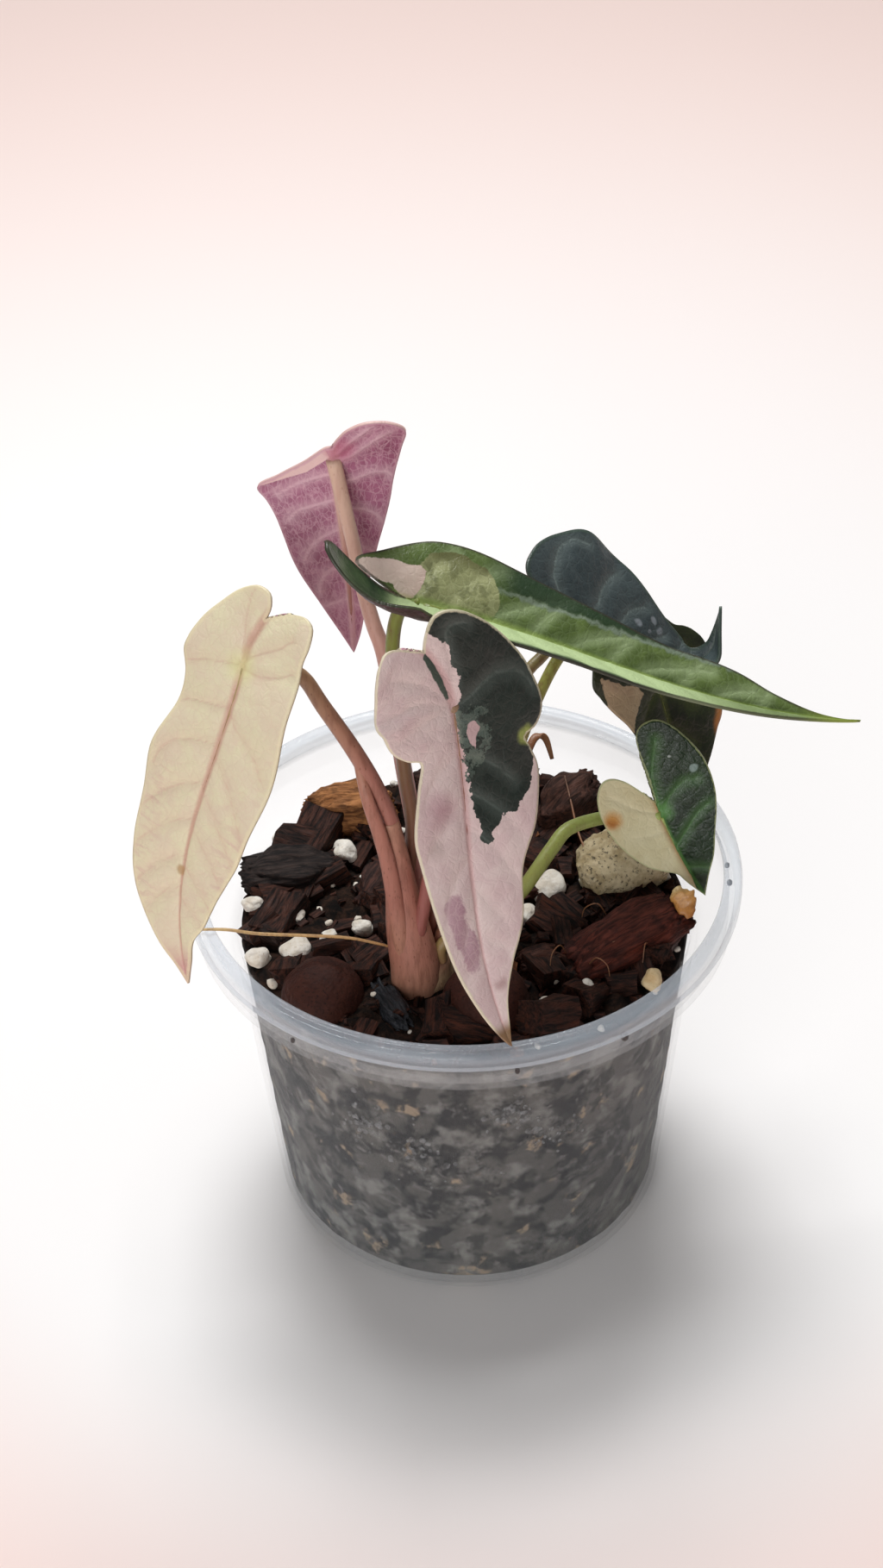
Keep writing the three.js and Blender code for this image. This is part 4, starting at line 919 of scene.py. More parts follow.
def stone_skin(name, base, shade, specks, rough=0.85, scale=1.0, pit=0.3, rare=0.54):
    skin = Finish(name, rough)
    lump = skin.grain(skin.place, 0.30 * scale, 5, 0.6)
    fine = skin.grain(skin.place, 1.6 * scale, 4, 0.65)
    col = skin.mix(skin.fade(lump, 0.38, 0.64), base, shade)
    col = skin.mix(skin.fade(fine, rare, rare + 0.1, 0, 0.8), col, specks)
    skin.colour(col)
    skin.value("Specular IOR Level", 0.2)
    skin.relief(skin.plus(fine, skin.cells(skin.place, 1.3 * scale)), pit, 0.9)
    return skin.material


# The tub: one wall profile spun about the axis
TUB_PROFILE = [
    (0, 0.35), (30, 0.35), (31.5, 0), (BODY_FOOT_R - 2.2, 0), (BODY_FOOT_R - 1.2, 0.25),
    (BODY_FOOT_R - 0.45, 0.9), (BODY_FOOT_R, CORNER_R), (BODY_FOOT_R + 1.9, 21), (BODY_FOOT_R + 3.9, 41),
    (BODY_TOP_R - 0.3, BODY_TOP_Z - 2), (BODY_TOP_R - 0.05, BODY_TOP_Z - 0.9),
    (BODY_TOP_R + 0.6, BODY_TOP_Z - 0.2), (BODY_TOP_R + 2.4, 62.1), (COLLAR_R - 1.6, 62.8),
    (COLLAR_R - 0.5, 63.3), (COLLAR_R, LEDGE_Z), (COLLAR_R + 0.1, 66.5), (COLLAR_R, 68.7),
    (COLLAR_R + 0.2, 69.05), (RIM_R - 0.5, 69.1), (RIM_R - 0.1, 69.25), (RIM_R, 69.7), (RIM_R, 71.6),
    (RIM_R - 0.12, 72.2), (RIM_R - 0.55, 72.6), (RIM_R - 1.1, RIM_TOP), (48.4, 72.55), (48.0, 72.35),
    (47.6, 72.6), (47.3, RIM_TOP), (46.95, RIM_TOP), (LIP_R + 0.1, 72.45), (LIP_R, 72.0),
    (LIP_R + 0.05, 71.2), (47.0, 70.5), (COLLAR_R - WALL - 0.1, 70.0), (COLLAR_R - WALL, 67.5),
    (COLLAR_R - WALL, LEDGE_Z + 0.7), (47.5, 64.2), (COLLAR_R - WALL - 0.9, LEDGE_Z - 0.2),
    (BODY_TOP_R + 1.8, 63.1), (BODY_TOP_R + 0.4 - WALL, BODY_TOP_Z + 0.7),
    (BODY_TOP_R - 0.35 - WALL, BODY_TOP_Z - 0.3), (BODY_TOP_R - 0.4 - WALL, BODY_TOP_Z - 1.4),
    (BODY_FOOT_R + 3.9 - WALL, 41), (BODY_FOOT_R + 1.9 - WALL, 21), (BODY_FOOT_R - WALL, CORNER_R + 0.4),
    (BODY_FOOT_R - WALL - 0.4, 1.4), (BODY_FOOT_R - WALL - 1.2, 0.95), (BODY_FOOT_R - 3, WALL), (0, WALL),
]


def spun(profile, steps=144):
    bm = bmesh.new()
    verts = [bm.verts.new((r * MM, 0, z * MM)) for r, z in profile]
    edges = [bm.edges.new(pair) for pair in zip(verts, verts[1:])]
    bmesh.ops.spin(bm, geom=verts + edges, cent=(0, 0, 0), axis=(0, 0, 1), angle=2 * math.pi, steps=steps,
                   use_merge=True)
    bmesh.ops.remove_doubles(bm, verts=bm.verts, dist=0.005 * MM)
    bmesh.ops.recalc_face_normals(bm, faces=bm.faces)
    return bm


def make_tub():
    place_piece("tub_wall", spun(TUB_PROFILE), [clear_plastic()], ("tub",))


def swell(x, y):
    a = math.sin(x * 0.31 + 0.6) * math.cos(y * 0.27 - 0.4)
    b = math.sin(x * 0.73 - y * 0.52 + 1.1)
    c = math.cos(x * 1.13 + y * 0.91)
    return 1.1 * (0.7 * a + 0.5 * b + 0.3 * c)


def mix_top(x, y):
    r = math.hypot(x, y)
    fade = min(1, max(0, (41 - r) / 3))
    lumps = noise.noise(Vector((x * 0.22, y * 0.22, 3.7))) * 1.6
    lumps += noise.noise(Vector((x * 0.6, y * 0.6, 8.1))) * 0.8
    near_stem = min(1, max(0, (math.hypot(x - STEM_AT[0], y - STEM_AT[1]) - 4) / 5))
    return MIX_TOP + swell(x, y) * fade + lumps * fade * near_stem - 0.9 * (1 - fade)


def wall_inside(z):
    top = BODY_TOP_R - 0.4 - WALL
    return BODY_FOOT_R - WALL + (top - BODY_FOOT_R + WALL) * (z - CORNER_R) / (BODY_TOP_Z - 1.4 - CORNER_R)


def make_mix():
    profile = [(0, 1.2), (20, 1.2), (33, 1.2), (34, 1.9)]
    profile += [(wall_inside(z) - MIX_GAP, z) for z in np.linspace(3.4, 59.6, 30)]
    edge = wall_inside(59.8) - 0.8
    profile += [(edge * (1 - i / 40), MIX_TOP) for i in range(41)]
    bm = spun(profile, 180)
    for vert in bm.verts:
        x, y, z = (c / MM for c in vert.co)
        r = math.hypot(x, y)
        if z > 61:
            vert.co.z = mix_top(x, y) * MM
            continue
        if r > 30 and z > 3:
            press = 0.25 * noise.noise(Vector((x * 0.3, y * 0.3, z * 0.3)))
            vert.co.x += x / r * (press - 0.1) * MM
            vert.co.y += y / r * (press - 0.1) * MM
    place_piece("mix_bed", bm, [mix_skin()], ("potting_mix",))


# Chips in the mix: centre, half sizes, turn and tilt in degrees, and seed, as in the solid model
CHIPS = {
    "bark_red": ((28.8, -12.2, 64.4), (11.8, 6.2, 4.7), 29, 11, 1),
    "bark_black": ((-32.2, 10.4, 63.4), (8.6, 5.6, 3.4), 12, -5, 2),
    "bark_orange": ((-20.8, 26, 65), (8.8, 4.8, 5), -14, 9, 3),
    "bark_back": ((20.4, 24.8, 65.6), (6.8, 4.6, 5.6), 35, 22, 4),
    "bark_middle": ((-14.5, 6.5, 63), (6, 4.2, 3.2), 60, 8, 5),
    "bark_left": ((-34.5, -6.6, 62.4), (3.2, 2.4, 2.2), -40, -6, 6),
    "bark_far": ((-2, 33, 64), (7.4, 4, 3.8), 8, -8, 7),
    "bark_right": ((13, -15.6, 62.6), (4, 3, 2.8), 20, 6, 8),
    "charcoal": ((-13.3, -25.8, 62.2), (6.4, 2.4, 2.4), -64, 4, 9),
}
STONES = {
    "pumice": ((29.2, 8.7, 64.8), (9.2, 7, 7.2), 20, 12, 10, 0.11),
    "clay_ball_left": ((-25.4, -21.6, 61.4), (7.3, 7.2, 7), 0, 0, 11, 0.012),
    "clay_ball_front": ((3.2, -26.4, 63.2), (7.8, 7.7, 7.6), 40, 0, 12, 0.012),
}
GRAINS = [
    (-38.2, 1.9, 62.8, 2), (-37, -12.4, 62.8, 2.2), (-30, -11.8, 63.2, 3), (-21.8, 15.8, 63.2, 2.4),
    (-30.6, -1.6, 62.8, 1.8), (-18.4, -5.4, 62.8, 1.9), (-24.4, -7.6, 62.6, 1.7), (15.6, 3.6, 63.6, 3.2),
    (11.2, -3.4, 63.2, 2.2), (8.8, -9.6, 62.8, 1.5), (14.4, -26.8, 62.6, 2), (20.8, -22.6, 62.6, 1.7),
    (32.6, -21.4, 63, 2.2), (-5.8, -32.4, 62.6, 1.8), (4.4, 13.4, 62.8, 2.4), (-32.6, 21, 62.8, 2.3),
]


def lumpy(q, seed):
    a = math.sin(q.x * 3.4 + seed * 2.1) * math.sin(q.y * 3.8 + seed * 1.3)
    return 0.6 * a + 0.4 * math.sin(q.z * 4.6 + seed * 0.7 + q.x * 1.8)


# A bark chip: a block cut fine, worn at its corners, split along its fibres and torn at its ends
def make_chip(name, finish):
    at, half, turn, tilt, seed = CHIPS[name]
    bm = bmesh.new()
    bmesh.ops.create_cube(bm, size=2)
    bmesh.ops.subdivide_edges(bm, edges=bm.edges, cuts=17, use_grid_fill=True)
    fields = [bm.verts.layers.float.new("bark_" + axis) for axis in "xyz"]
    for vert in bm.verts:
        q = vert.co.copy()
        p = q * (1 - 0.16 * (q.x ** 2 * q.y ** 2 + q.y ** 2 * q.z ** 2 + q.z ** 2 * q.x ** 2) / 1.5)
        p.y *= 1 - 0.22 * q.x ** 2
        p.z *= 1 - 0.2 * q.x ** 2 - 0.1 * q.y ** 2
        p *= 1 + 0.13 * lumpy(q, seed)
        for axis, layer in zip(range(3), fields):
            vert[layer] = p[axis] * half[axis]
        size = Vector(half)
        real = Vector(p[i] * size[i] for i in range(3))
        fibre = noise.noise(Vector((real.x * 0.12, real.y * 1.1, real.z * 1.1 + seed * 9)))
        lump = noise.noise(Vector((real.x * 0.3, real.y * 0.45, real.z * 0.45 + seed * 5)))
        out = Vector((math.copysign(1, q.x), 0, 0))
        if max(abs(q.y), abs(q.z)) > 0.98:
            out = Vector((q.x * 0.2, q.y, q.z)).normalized()
        torn = noise.noise(Vector((real.y * 1.6, real.z * 1.6, seed))) * (1.3 if abs(q.x) > 0.98 else 0.2)
        real += out * (0.42 * fibre + 0.5 * lump + torn - 0.25)
        vert.co = real * MM
    place = Matrix.Translation(Vector(at) * MM) @ Matrix.Rotation(math.radians(turn), 4, "Z")
    bmesh.ops.transform(bm, matrix=place @ Matrix.Rotation(math.radians(-tilt), 4, "Y"), verts=bm.verts)
    place_piece(name, bm, [finish], (name,))


def make_stone(name, finish, rough=0.0, fine=0.0):
    at, half, turn, tilt, seed, push = STONES[name]
    bm = bmesh.new()
    bmesh.ops.create_icosphere(bm, subdivisions=6, radius=1)
    for vert in bm.verts:
        q = vert.co.copy()
        real = Vector(q[i] * (1 + push * lumpy(q, seed)) * half[i] for i in range(3))
        real += q * (rough * noise.noise(real * 0.28 + Vector((seed, 0, 0))) + fine * noise.noise(real * 1.3))
        vert.co = real * MM
    place = Matrix.Translation(Vector(at) * MM) @ Matrix.Rotation(math.radians(turn), 4, "Z")
    bmesh.ops.transform(bm, matrix=place @ Matrix.Rotation(math.radians(-tilt), 4, "Y"), verts=bm.verts)
    place_piece(name, bm, [finish], (name,))


def make_grain(k, finish):
    x, y, z, r = GRAINS[k]
    name = f"perlite_{k + 1:02d}"
    half = (r, r * (0.8 + 0.05 * (k % 4)), r * 0.8)
    bm = bmesh.new()
    bmesh.ops.create_icosphere(bm, subdivisions=5, radius=1)
    for vert in bm.verts:
        q = vert.co.copy()
        real = Vector(q[i] * half[i] * (1.06 + 0.2 * lumpy(q, 20 + k)) for i in range(3))
        bubble = noise.voronoi(q * 1.3 + Vector((k * 3.1, 0, 0)))[0][0]
        real += q * (0.45 - bubble) * 0.17 * r
        vert.co = real * MM
    turn = Matrix.Rotation(math.radians(37 * k), 4, "Z") @ Matrix.Rotation(math.radians(11 * (k % 5)), 4, "X")
    bmesh.ops.transform(bm, matrix=Matrix.Translation(Vector((x, y, z)) * MM) @ turn, verts=bm.verts)
    place_piece(name, bm, [finish], (name,))


# Colours of each stalk from the blade down to the mix: share of the run and colour
STALK_COLOURS = {
    "leaf_cream": [(0, (0.50, 0.42, 0.20)), (0.2, (0.42, 0.27, 0.14)), (0.5, (0.36, 0.15, 0.11)),
                   (1, (0.34, 0.12, 0.10))],
    "leaf_mauve": [(0, (0.70, 0.48, 0.36)), (0.35, (0.68, 0.42, 0.34)), (0.6, (0.50, 0.24, 0.20)),
                   (1, (0.28, 0.09, 0.07))],
    "leaf_green": [(0, (0.22, 0.28, 0.05)), (0.35, (0.20, 0.24, 0.04)), (0.55, (0.16, 0.09, 0.04)),
                   (1, (0.16, 0.04, 0.035))],
    "leaf_centre": [(0, (0.40, 0.26, 0.16)), (0.4, (0.30, 0.10, 0.08)), (1, (0.26, 0.08, 0.07))],
    "leaf_dark": [(0, (0.14, 0.13, 0.05)), (0.4, (0.30, 0.24, 0.09)), (0.7, (0.26, 0.12, 0.07)),
                  (1, (0.24, 0.08, 0.06))],
    "leaf_back": [(0, (0.22, 0.24, 0.06)), (0.45, (0.34, 0.36, 0.08)), (0.75, (0.28, 0.16, 0.08)),
                  (1, (0.24, 0.08, 0.06))],
    "leaf_small": [(0, (0.36, 0.46, 0.12)), (0.35, (0.34, 0.40, 0.10)), (0.7, (0.27, 0.27, 0.07)),
                   (1, (0.30, 0.15, 0.08))],
}
# The mauve leaf's stalk is stout; two stalks have pale specks
STALK_SWELL = {"leaf_mauve": 1.2}
STALK_SPECKS = {"leaf_mauve": (0.52, 0.28, 0.22), "leaf_small": (0.26, 0.22, 0.07)}


def make_stalk(leaf):
    name = "stalk_" + leaf["name"][5:]
    bm = bmesh.new()
    thick = np.array(leaf["radius"]) * STALK_SWELL.get(leaf["name"], 1)
    strand(bm, leaf["stalk"], thick, 18, 60)
    rib = midrib(leaf)
    ys = np.linspace(0.5, leaf["length"] * 0.93, 14)
    p, t, n, a = rib_frames(rib, ys)
    keel = p - n * np.linspace(0.45, 0.2, 14)[:, None]
    strand(bm, keel.tolist(), np.linspace(0.85, 0.2, 14).tolist(), 10, 40, 0.8, Vector(a[0]))
    bmesh.ops.recalc_face_normals(bm, faces=bm.faces)
    speck = STALK_SPECKS.get(leaf["name"], RED_BROWN)
    finish = stalk_skin(name.replace("_", " "), STALK_COLOURS[leaf["name"]], speck)
    place_piece(name, bm, [finish], (leaf["name"],))


# The short stem: heights and radii; then the sheath round the stalks and its free strand
STEM_Z = (52, 56, 60.6, 62, 62.8, 64, 65.5, 66.4)
STEM_R = [3.5, 4.6, 5.0, 5.35, 5.3, 4.9, 4.6, 3.8]
SHEATH = [(-9, -19.4, 60), (-9, -19.4, 66), (-10, -18.6, 74), (-10.9, -17.8, 82), (-11.6, -17.3, 90),
          (-12.6, -16.9, 97)]
SHEATH_R = [4.4, 4.4, 3.9, 2.9, 2.1, 1.6]
SHEATH_STRAND = [(-17.9, -16.4, 111.4), (-17, -17, 107), (-15.9, -18.1, 102), (-14.3, -18.8, 95.8),
                 (-13, -19.4, 89.4), (-12, -20.2, 81), (-11.3, -21, 74.4), (-10.4, -21.2, 66)]
SHEATH_STRAND_R = [0.5, 0.9, 1.15, 1.3, 1.4, 1.5, 1.5, 1.3]


def make_stem():
    bm = bmesh.new()
    strand(bm, [(*STEM_AT, z) for z in STEM_Z], STEM_R, 32, 40)
    for vert in bm.verts:
        z = vert.co.z / MM
        vert.co += Vector((0, 0, 0.25 * MM * noise.noise(vert.co / MM * 0.5)))
        vert[bm.verts.layers.float["run"]] = min(1, max(0, (70 - z) / 12))
    bmesh.ops.recalc_face_normals(bm, faces=bm.faces)
    ringed = stalk_skin("stem base", [(0, (0.38, 0.17, 0.11)), (0.30, (0.40, 0.20, 0.13)),
                                      (0.5, (0.55, 0.38, 0.22)),
                                      (0.8, (0.20, 0.10, 0.07)), (1, (0.06, 0.035, 0.03))])
    place_piece("stem_foot", bm, [ringed], ("stem_base",))
    bm = bmesh.new()
    strand(bm, SHEATH, SHEATH_R, 28, 50, 0.85)
    strand(bm, SHEATH_STRAND, SHEATH_STRAND_R, 16, 50, 0.7)
    bmesh.ops.recalc_face_normals(bm, faces=bm.faces)
    sheath = stalk_skin("sheath", [(0, (0.42, 0.22, 0.14)), (0.3, (0.40, 0.17, 0.12)),
                                   (0.7, (0.36, 0.14, 0.10)), (1, (0.44, 0.23, 0.15))])
    place_piece("stem_sheath", bm, [sheath])


# Small bits that lie on the mix: how many, sizes, seed and whether they are blocky
CRUMBS = {
    "bark_bits": (170, (2.4, 5.2), 5, True),
    "bark_crumbs": (460, (0.5, 1.6), 6, True),
    "rusty_bits": (34, (0.8, 2.4), 7, True),
    "perlite_crumbs": (120, (0.35, 1.3), 8, False),
}
MIX_EDGE_R = 40.6
STEM_CLEAR = 5.6


def make_crumbs(name, finish):
    count, sizes, seed, square = CRUMBS[name]
    rng = random.Random(seed)
    bm = bmesh.new()
    fields = [bm.verts.layers.float.new("bark_" + axis) for axis in "xyz"]
    for _ in range(count):
        spread, around = (MIX_EDGE_R - 0.3) * math.sqrt(rng.random()), rng.uniform(0, 2 * math.pi)
        x, y = spread * math.cos(around), spread * math.sin(around)
        size = rng.uniform(*sizes) * rng.uniform(0.6, 1)
        off_stem = math.hypot(x - STEM_AT[0], y - STEM_AT[1])
        if off_stem < STEM_CLEAR + size or math.hypot(x, y) + size > MIX_EDGE_R:
            continue
        before = len(bm.verts)
        if square:
            bmesh.ops.create_cube(bm, size=2)
            bm.edges.ensure_lookup_table()
            bmesh.ops.subdivide_edges(bm, edges=bm.edges[-12:], cuts=1, use_grid_fill=True)
            stretch = Vector((size, size * rng.uniform(0.5, 0.8), size * rng.uniform(0.35, 0.65)))
        else:
            bmesh.ops.create_icosphere(bm, subdivisions=2, radius=1)
            stretch = Vector((size, size * rng.uniform(0.7, 1), size * rng.uniform(0.6, 0.9)))
        bm.verts.ensure_lookup_table()
        turn = Matrix.Rotation(rng.uniform(0, 6.3), 4, "Z")
        for axis in "XY":
            turn = turn @ Matrix.Rotation(rng.uniform(-0.5, 0.5), 4, axis)
        offset = Vector((rng.random() * 50, rng.random() * 50, 0))
        place = Matrix.Translation((x, y, mix_top(x, y) + stretch.z * 0.45)) @ turn
        for vert in bm.verts[before:]:
            q = vert.co.copy()
            q *= 1 + 0.35 * noise.noise(q * 1.3 + offset)
            real = Vector(q[i] * stretch[i] for i in range(3))
            for amount, layer in zip(real, fields):
                vert[layer] = amount + offset.x
            vert.co = (place @ real) * MM
    place_piece(name, bm, [finish], smooth=not square)


# Condensation on the front wall: angle, height, both spreads, number and size of drops
DROPS = [
    (-118, 44, 8, 5, 46, 0.5), (-103, 39, 7, 4, 30, 0.55), (-80, 50, 6, 4, 34, 0.6), (-66, 41, 7, 4, 20, 0.4),
    (-90, 36, 40, 18, 60, 0.25),
]


def make_drops():
    rng = random.Random(9)
    bm = bmesh.new()
    for angle, height, wide, tall, count, size in DROPS:
        for _ in range(count):
            around = math.radians(rng.gauss(angle, wide / 2))
            z = min(60, max(6, rng.gauss(height, tall / 2)))
            r = size * rng.uniform(0.5, 1.3)
            place = Matrix.Rotation(around, 4, "Z") @ Matrix.Translation((wall_inside(z) + WALL, 0, z))
            shape = place @ Matrix.Diagonal((0.35 * r, r, r * rng.uniform(0.9, 1.3), 1))
            bmesh.ops.create_uvsphere(bm, u_segments=8, v_segments=5, radius=1,
                                      matrix=Matrix.Scale(MM, 4) @ shape)
    water = Finish("water drops", 0.04)
    # The clear drops are painted grey, lighter and darker by noise: painted glints and painted shade in place
    # of the light they reflect and bend
    painted_glint_share = water.fade(water.grain(water.place, 1.2, 2), 0.4, 0.6)
    water.colour(water.mix(painted_glint_share, (0.06, 0.06, 0.06), (0.34, 0.35, 0.36)))
    water.value("Alpha", 0.32)
    place_piece("wall_drops", bm, [water.material])


# Loose strands: points and radii
STRAW = [
    (-47, -16.6, 73.4), (-42, -16.8, 73.4), (-36.3, -17.2, 72.6), (-28.7, -17.6, 72.3), (-21, -18.6, 72.4),
    (-15.6, -19, 71.2), (-12.3, -18.9, 69.8),
]
STRAW_R = [0.22, 0.3, 0.3, 0.3, 0.28, 0.25, 0.15]
LONG_ROOT = [(19.4, 25.7, 72), (20.3, 20.5, 70.2), (21.0, 14.1, 69.6), (22.0, 9.1, 69), (23.9, 4.1, 68)]
LONG_ROOT_R = [0.12, 0.18, 0.2, 0.18, 0.1]
BENT_ROOT = [(11.8, 33.6, 66), (12.5, 34.9, 69), (14.3, 38.0, 71.5), (16.3, 38.6, 71), (17.6, 37.2, 67)]
BENT_ROOT_R = [0.5, 0.7, 0.8, 0.7, 0.4]
# Hairs on the big bark: place and heading
ROOT_HAIRS = [(24, -17, 0.4), (31, -19, 1.3), (36, -11, 2.2), (26, -6, 3.0), (18, -15, 4.0), (34, -5, 5.0),
              (21, -19, 5.7)]
ROOT_HAIR_R = [0.1, 0.13, 0.1, 0.06]
# The dried scrap of sheath under the small leaf
SCRAP = [(37.9, -6.2, 71), (38.6, -8.2, 70.8), (39.3, -10.6, 70.2), (39.9, -12.2, 69.4)]
SCRAP_R = [0.8, 2.2, 1.9, 0.5]
SCRAP_CRUMPLE = Vector((0.5, 0.5, 0.6))


def make_strands(name, bm, colours, *look):
    bmesh.ops.recalc_face_normals(bm, faces=bm.faces)
    finish = stalk_skin(name.replace("_", " "), colours, *look)
    place_piece(name, bm, [finish], (name,) if name == "straw" else ())


def make_straw():
    bm = bmesh.new()
    strand(bm, STRAW, STRAW_R, 8, 60)
    make_strands("straw", bm, [(0, (0.62, 0.44, 0.19)), (0.5, (0.52, 0.31, 0.11)), (1, (0.34, 0.17, 0.06))])


def make_root_hairs():
    bm = bmesh.new()
    strand(bm, LONG_ROOT, LONG_ROOT_R, 8, 40)
    strand(bm, BENT_ROOT, BENT_ROOT_R, 10, 40, 0.5)
    for x, y, turn in ROOT_HAIRS:
        dx, dy = math.cos(turn), math.sin(turn)
        hair = [(x, y, 63.5), (x + 2 * dx, y + 2 * dy, 67.4), (x + 4.4 * dx, y + 3.6 * dy, 66.4),
                (x + 5 * dx, y + 5.5 * dy, 63.6)]
        strand(bm, hair, ROOT_HAIR_R, 6, 24)
    make_strands("root_hairs", bm, [(0, (0.10, 0.045, 0.02)), (0.5, (0.24, 0.10, 0.04)),
                                    (1, (0.30, 0.14, 0.06))])


def make_scrap():
    bm = bmesh.new()
    strand(bm, SCRAP, SCRAP_R, 14, 30, 0.35)
    for vert in bm.verts:
        vert.co += SCRAP_CRUMPLE * MM * noise.noise(vert.co / MM * 0.9)
    make_strands("dried_scrap", bm, [(0, (0.66, 0.52, 0.26)), (0.35, (0.55, 0.27, 0.07)),
                                     (1, (0.34, 0.13, 0.03))],
                 (0.20, 0.07, 0.02), 0.3)


# Specks of dirt on the collar: centre and radius
SPECKS = [
    (26.6, -39.2, 66.4, 0.7), (47.9, 3.9, 67.6, 0.45), (47.9, -1.2, 67.8, 0.5), (-30.2, -37.6, 66.0, 0.4),
    (8, -47.2, 66.6, 0.45),
]


def make_specks(finish):
    bm = bmesh.new()
    for x, y, z, r in SPECKS:
        shape = Matrix.Diagonal((r * MM, r * MM, 1.4 * r * MM, 1))
        place = Matrix.Translation((x * MM, y * MM, z * MM)) @ shape
        bmesh.ops.create_icosphere(bm, subdivisions=3, radius=1, matrix=place)
    for axis in "xyz":
        bm.verts.layers.float.new("bark_" + axis)
    place_piece("collar_specks", bm, [finish])


# Floor, lights and camera
FLOOR_HALF = 2.5  # metres
FLOOR_MIDDLE = (0, 60, 0)
# Floor colours: a pale pink tint, whiter in the middle as a painted pool of light round the plant, pinker and
# darker towards the edges and front corners as painted falloff of light
FLOOR_POOLED_LIGHT = (0.96, 0.945, 0.94)
FLOOR_FAR_FALLOFF = (0.94, 0.76, 0.71)
FLOOR_FRONT_FALLOFF = (0.93, 0.72, 0.67)
# Lights in metres and watts: place, aim, size, power
KEY = ((-0.05, 0.32, 0.85), (0, 0, 0.05), 0.42, 7.2)
FILL = ((-0.35, -1.1, 0.3), (0, 0, 0.09), 0.8, 8.6)
ROOM_COLOUR = (1.0, 0.965, 0.955, 1)
ROOM_GLOW = 0.15


def make_floor():
    bm = bmesh.new()
    bmesh.ops.create_grid(bm, x_segments=1, y_segments=1, size=FLOOR_HALF)
    mesh = finished_mesh("floor", bm)
    floor = bpy.data.objects.new("floor", mesh)
    bpy.context.scene.collection.objects.link(floor)
    paint = Finish("pale floor", 0.9)
    middle = paint.vector("SUBTRACT", paint.place, FLOOR_MIDDLE)
    away, corner = (paint.add("ShaderNodeVectorMath", operation="LENGTH") for _ in range(2))
    paint.feed(away.inputs[0], middle)
    paint.feed(corner.inputs[0], paint.vector("MULTIPLY", middle, (1.1, 1, 1)))
    # Painted pool of light in the middle, fading to painted falloff of light towards the far edges and the
    # front corners
    far = paint.mix(paint.fade(away.outputs["Value"], 110, 480), FLOOR_POOLED_LIGHT, FLOOR_FAR_FALLOFF)
    split = paint.add("ShaderNodeSeparateXYZ")
    paint.feed(split.inputs[0], paint.place)
    front = paint.times(paint.fade(corner.outputs["Value"], 118, 205), paint.fade(split.outputs["Y"], 70, 0))
    paint.colour(paint.mix(front, far, FLOOR_FRONT_FALLOFF))
    mesh.materials.append(paint.material)


def make_light(name, at, towards, size, power):
    lamp = bpy.data.lights.new(name, "AREA")
    lamp.size = size
    lamp.energy = power
    holder = bpy.data.objects.new(name, lamp)
    holder.location = at
    holder.rotation_euler = (Vector(towards) - Vector(at)).to_track_quat("-Z", "Y").to_euler()
    bpy.context.scene.collection.objects.link(holder)


def make_room():
    world = bpy.data.worlds.new("studio")
    world.use_nodes = True
    glow = world.node_tree.nodes["Background"].inputs
    glow["Color"].default_value = ROOM_COLOUR
    glow["Strength"].default_value = ROOM_GLOW
    bpy.context.scene.world = world
    bpy.context.scene.view_settings.view_transform = "Standard"


def make_camera():
    lens = bpy.data.cameras.new("camera")
    lens.lens = CAMERA_LENS
    lens.sensor_width = 36
    lens.sensor_fit = "AUTO"
    lens.clip_start = 0.01
    camera = bpy.data.objects.new("camera", lens)
    turn = Matrix((CAMERA_RIGHT, CAMERA_UP, CAMERA_BACK)).transposed().to_4x4()
    camera.matrix_world = Matrix.Translation(Vector(CAMERA_AT) * MM) @ turn
    bpy.context.scene.collection.objects.link(camera)
    bpy.context.scene.camera = camera


# Undersides: name, ground, shade and veins
UNDERSIDES = {
    "leaf_cream": ("cream leaf underside", (0.36, 0.16, 0.20), (0.30, 0.12, 0.16), (0.5, 0.3, 0.3)),
    "leaf_mauve": ("mauve leaf upper side", (0.74, 0.52, 0.47), (0.68, 0.44, 0.42), (0.66, 0.4, 0.4)),
    "leaf_green": ("green leaf underside", PURPLE, (0.04, 0.03, 0.02), (0.16, 0.07, 0.08)),
    "leaf_centre": ("pink leaf underside", (0.50, 0.24, 0.30), (0.36, 0.14, 0.2), (0.6, 0.4, 0.4)),
    "leaf_dark": ("blue leaf underside", PURPLE, (0.03, 0.02, 0.02), (0.13, 0.06, 0.07)),
    "leaf_back": ("olive leaf underside", PURPLE, (0.03, 0.02, 0.02), (0.13, 0.06, 0.07)),
    "leaf_small": ("small leaf underside", (0.12, 0.16, 0.07), (0.16, 0.1, 0.08), (0.25, 0.28, 0.15)),
}
# The side that the painted skin is on comes first; the mauve leaf shows its underside
SKINS = {
    "leaf_cream": ("leaf_cream_skin", cream_skin), "leaf_mauve": ("leaf_mauve_skin", mauve_skin),
    "leaf_green": ("leaf_green_skin", green_skin), "leaf_centre": ("leaf_pink_skin", centre_skin),
    "leaf_dark": ("leaf_dark_skin", dark_skin), "leaf_back": ("leaf_dark_skin", back_skin),
    "leaf_small": ("leaf_dark_skin", small_skin),
}
# Dark and light of each chip's fibres
BARKS = {
    "bark_red": ((0.026, 0.005, 0.003), (0.105, 0.020, 0.010)),
    "bark_black": ((0.008, 0.006, 0.006), (0.032, 0.019, 0.015)),
    "bark_orange": ((0.12, 0.045, 0.016), (0.46, 0.20, 0.07)),
    "bark_back": ((0.022, 0.010, 0.007), (0.085, 0.034, 0.022)),
    "bark_middle": ((0.016, 0.008, 0.007), (0.065, 0.022, 0.014)),
    "bark_left": ((0.010, 0.006, 0.005), (0.045, 0.02, 0.014)),
    "bark_far": ((0.018, 0.009, 0.007), (0.07, 0.03, 0.02)),
    "bark_right": ((0.02, 0.009, 0.007), (0.085, 0.03, 0.018)),
}
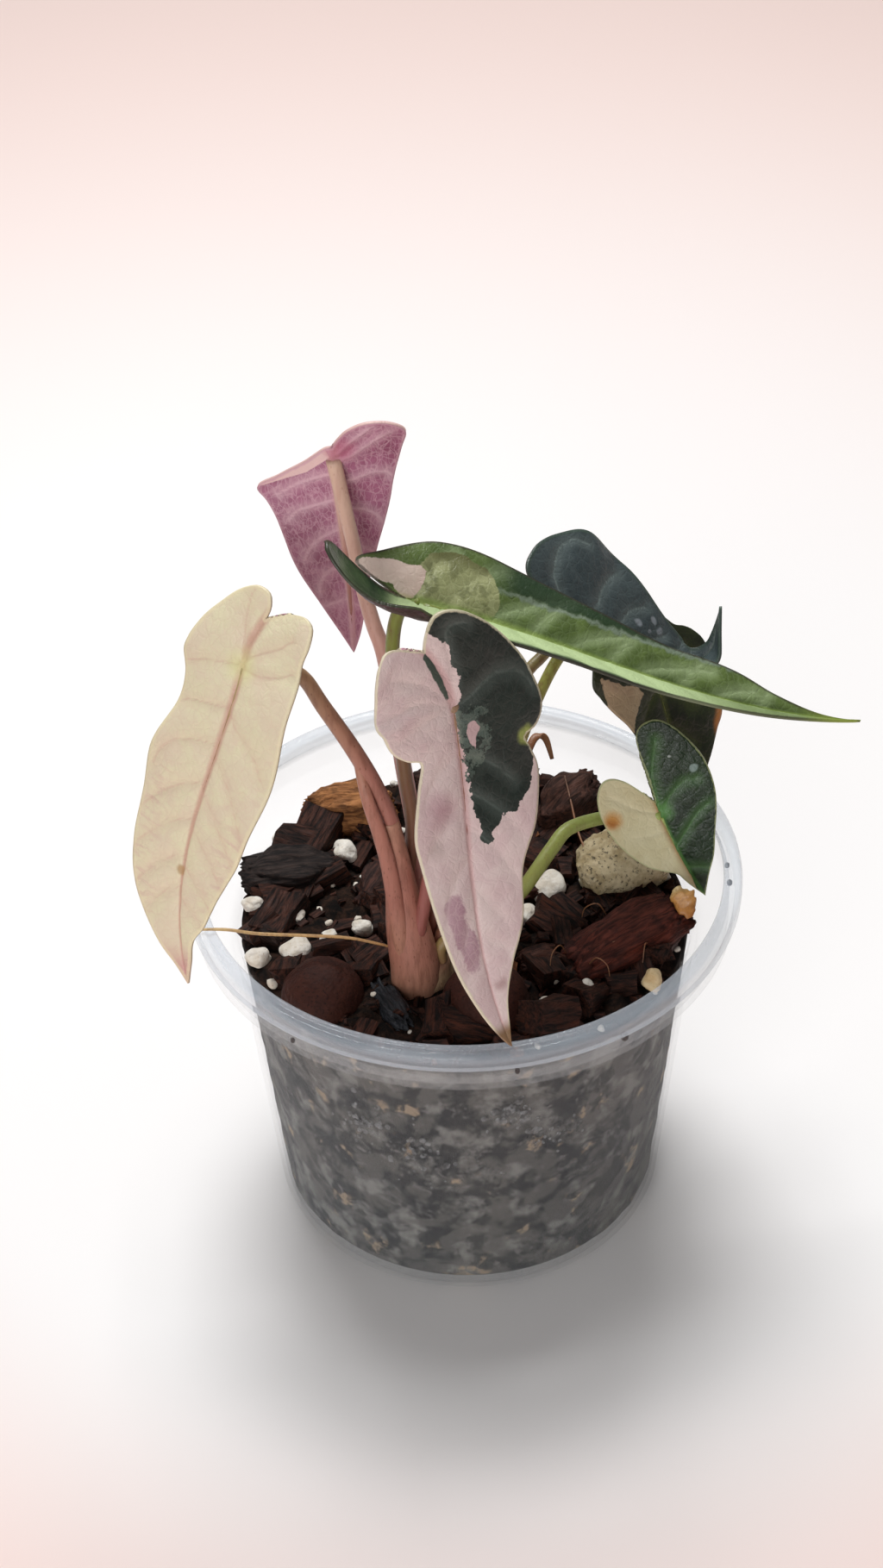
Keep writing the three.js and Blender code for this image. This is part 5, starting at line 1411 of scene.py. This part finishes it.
# Base, shade and specks of each stone, then roughness, scale, pits and how rare the specks are
STONE_LOOKS = {
    "pumice stone": ((0.56, 0.47, 0.30), (0.36, 0.28, 0.15), (0.04, 0.035, 0.025), 0.85, 0.9, 0.2, 0.55),
    "fired clay": ((0.034, 0.010, 0.0065), (0.050, 0.015, 0.009), (0.015, 0.005, 0.0035), 0.7, 1.2, 0.12),
    "perlite": ((0.80, 0.77, 0.70), (0.68, 0.62, 0.52), (0.46, 0.36, 0.24), 0.9, 1.2, 0.12, 0.60),
    "stained perlite": ((0.76, 0.62, 0.38), (0.64, 0.46, 0.24), (0.45, 0.28, 0.12), 0.9, 1.2, 0.12, 0.60),
}
STAINED_GRAINS = (12, 13)

make_camera()
make_floor()
make_light("key", *KEY)
make_light("fill", *FILL)
make_room()
make_tub()
make_mix()
for leaf in LEAVES:
    slot, painted = SKINS[leaf["name"]]
    under = under_skin(*UNDERSIDES[leaf["name"]])
    make_blade(leaf, [under, painted()] if leaf["name"] == "leaf_mauve" else [painted(), under])
    make_stalk(leaf)
make_stem()

for name, (dark, light) in BARKS.items():
    make_chip(name, bark_skin(name.replace("_", " "), dark, light))
charcoal = bark_skin("charcoal", (0.008, 0.009, 0.011), (0.035, 0.038, 0.045), 0.3, 0.5)
make_chip("charcoal", charcoal)
pumice, clay, white, yellow = (stone_skin(name, *look) for name, look in STONE_LOOKS.items())
make_stone("pumice", pumice, 1.0, 0.3)
for name in ("clay_ball_left", "clay_ball_front"):
    make_stone(name, clay, 0.25, 0.08)
for k in range(len(GRAINS)):
    make_grain(k, yellow if k in STAINED_GRAINS else white)

brown = bark_skin("small bark", (0.005, 0.0025, 0.002), (0.060, 0.017, 0.008))
rusty = bark_skin("rusty bark", (0.07, 0.026, 0.010), (0.26, 0.10, 0.035))
make_crumbs("bark_bits", brown)
make_crumbs("bark_crumbs", brown)
make_crumbs("rusty_bits", rusty)
make_crumbs("perlite_crumbs", white)
make_straw()
make_drops()
make_root_hairs()
make_scrap()
make_specks(brown)
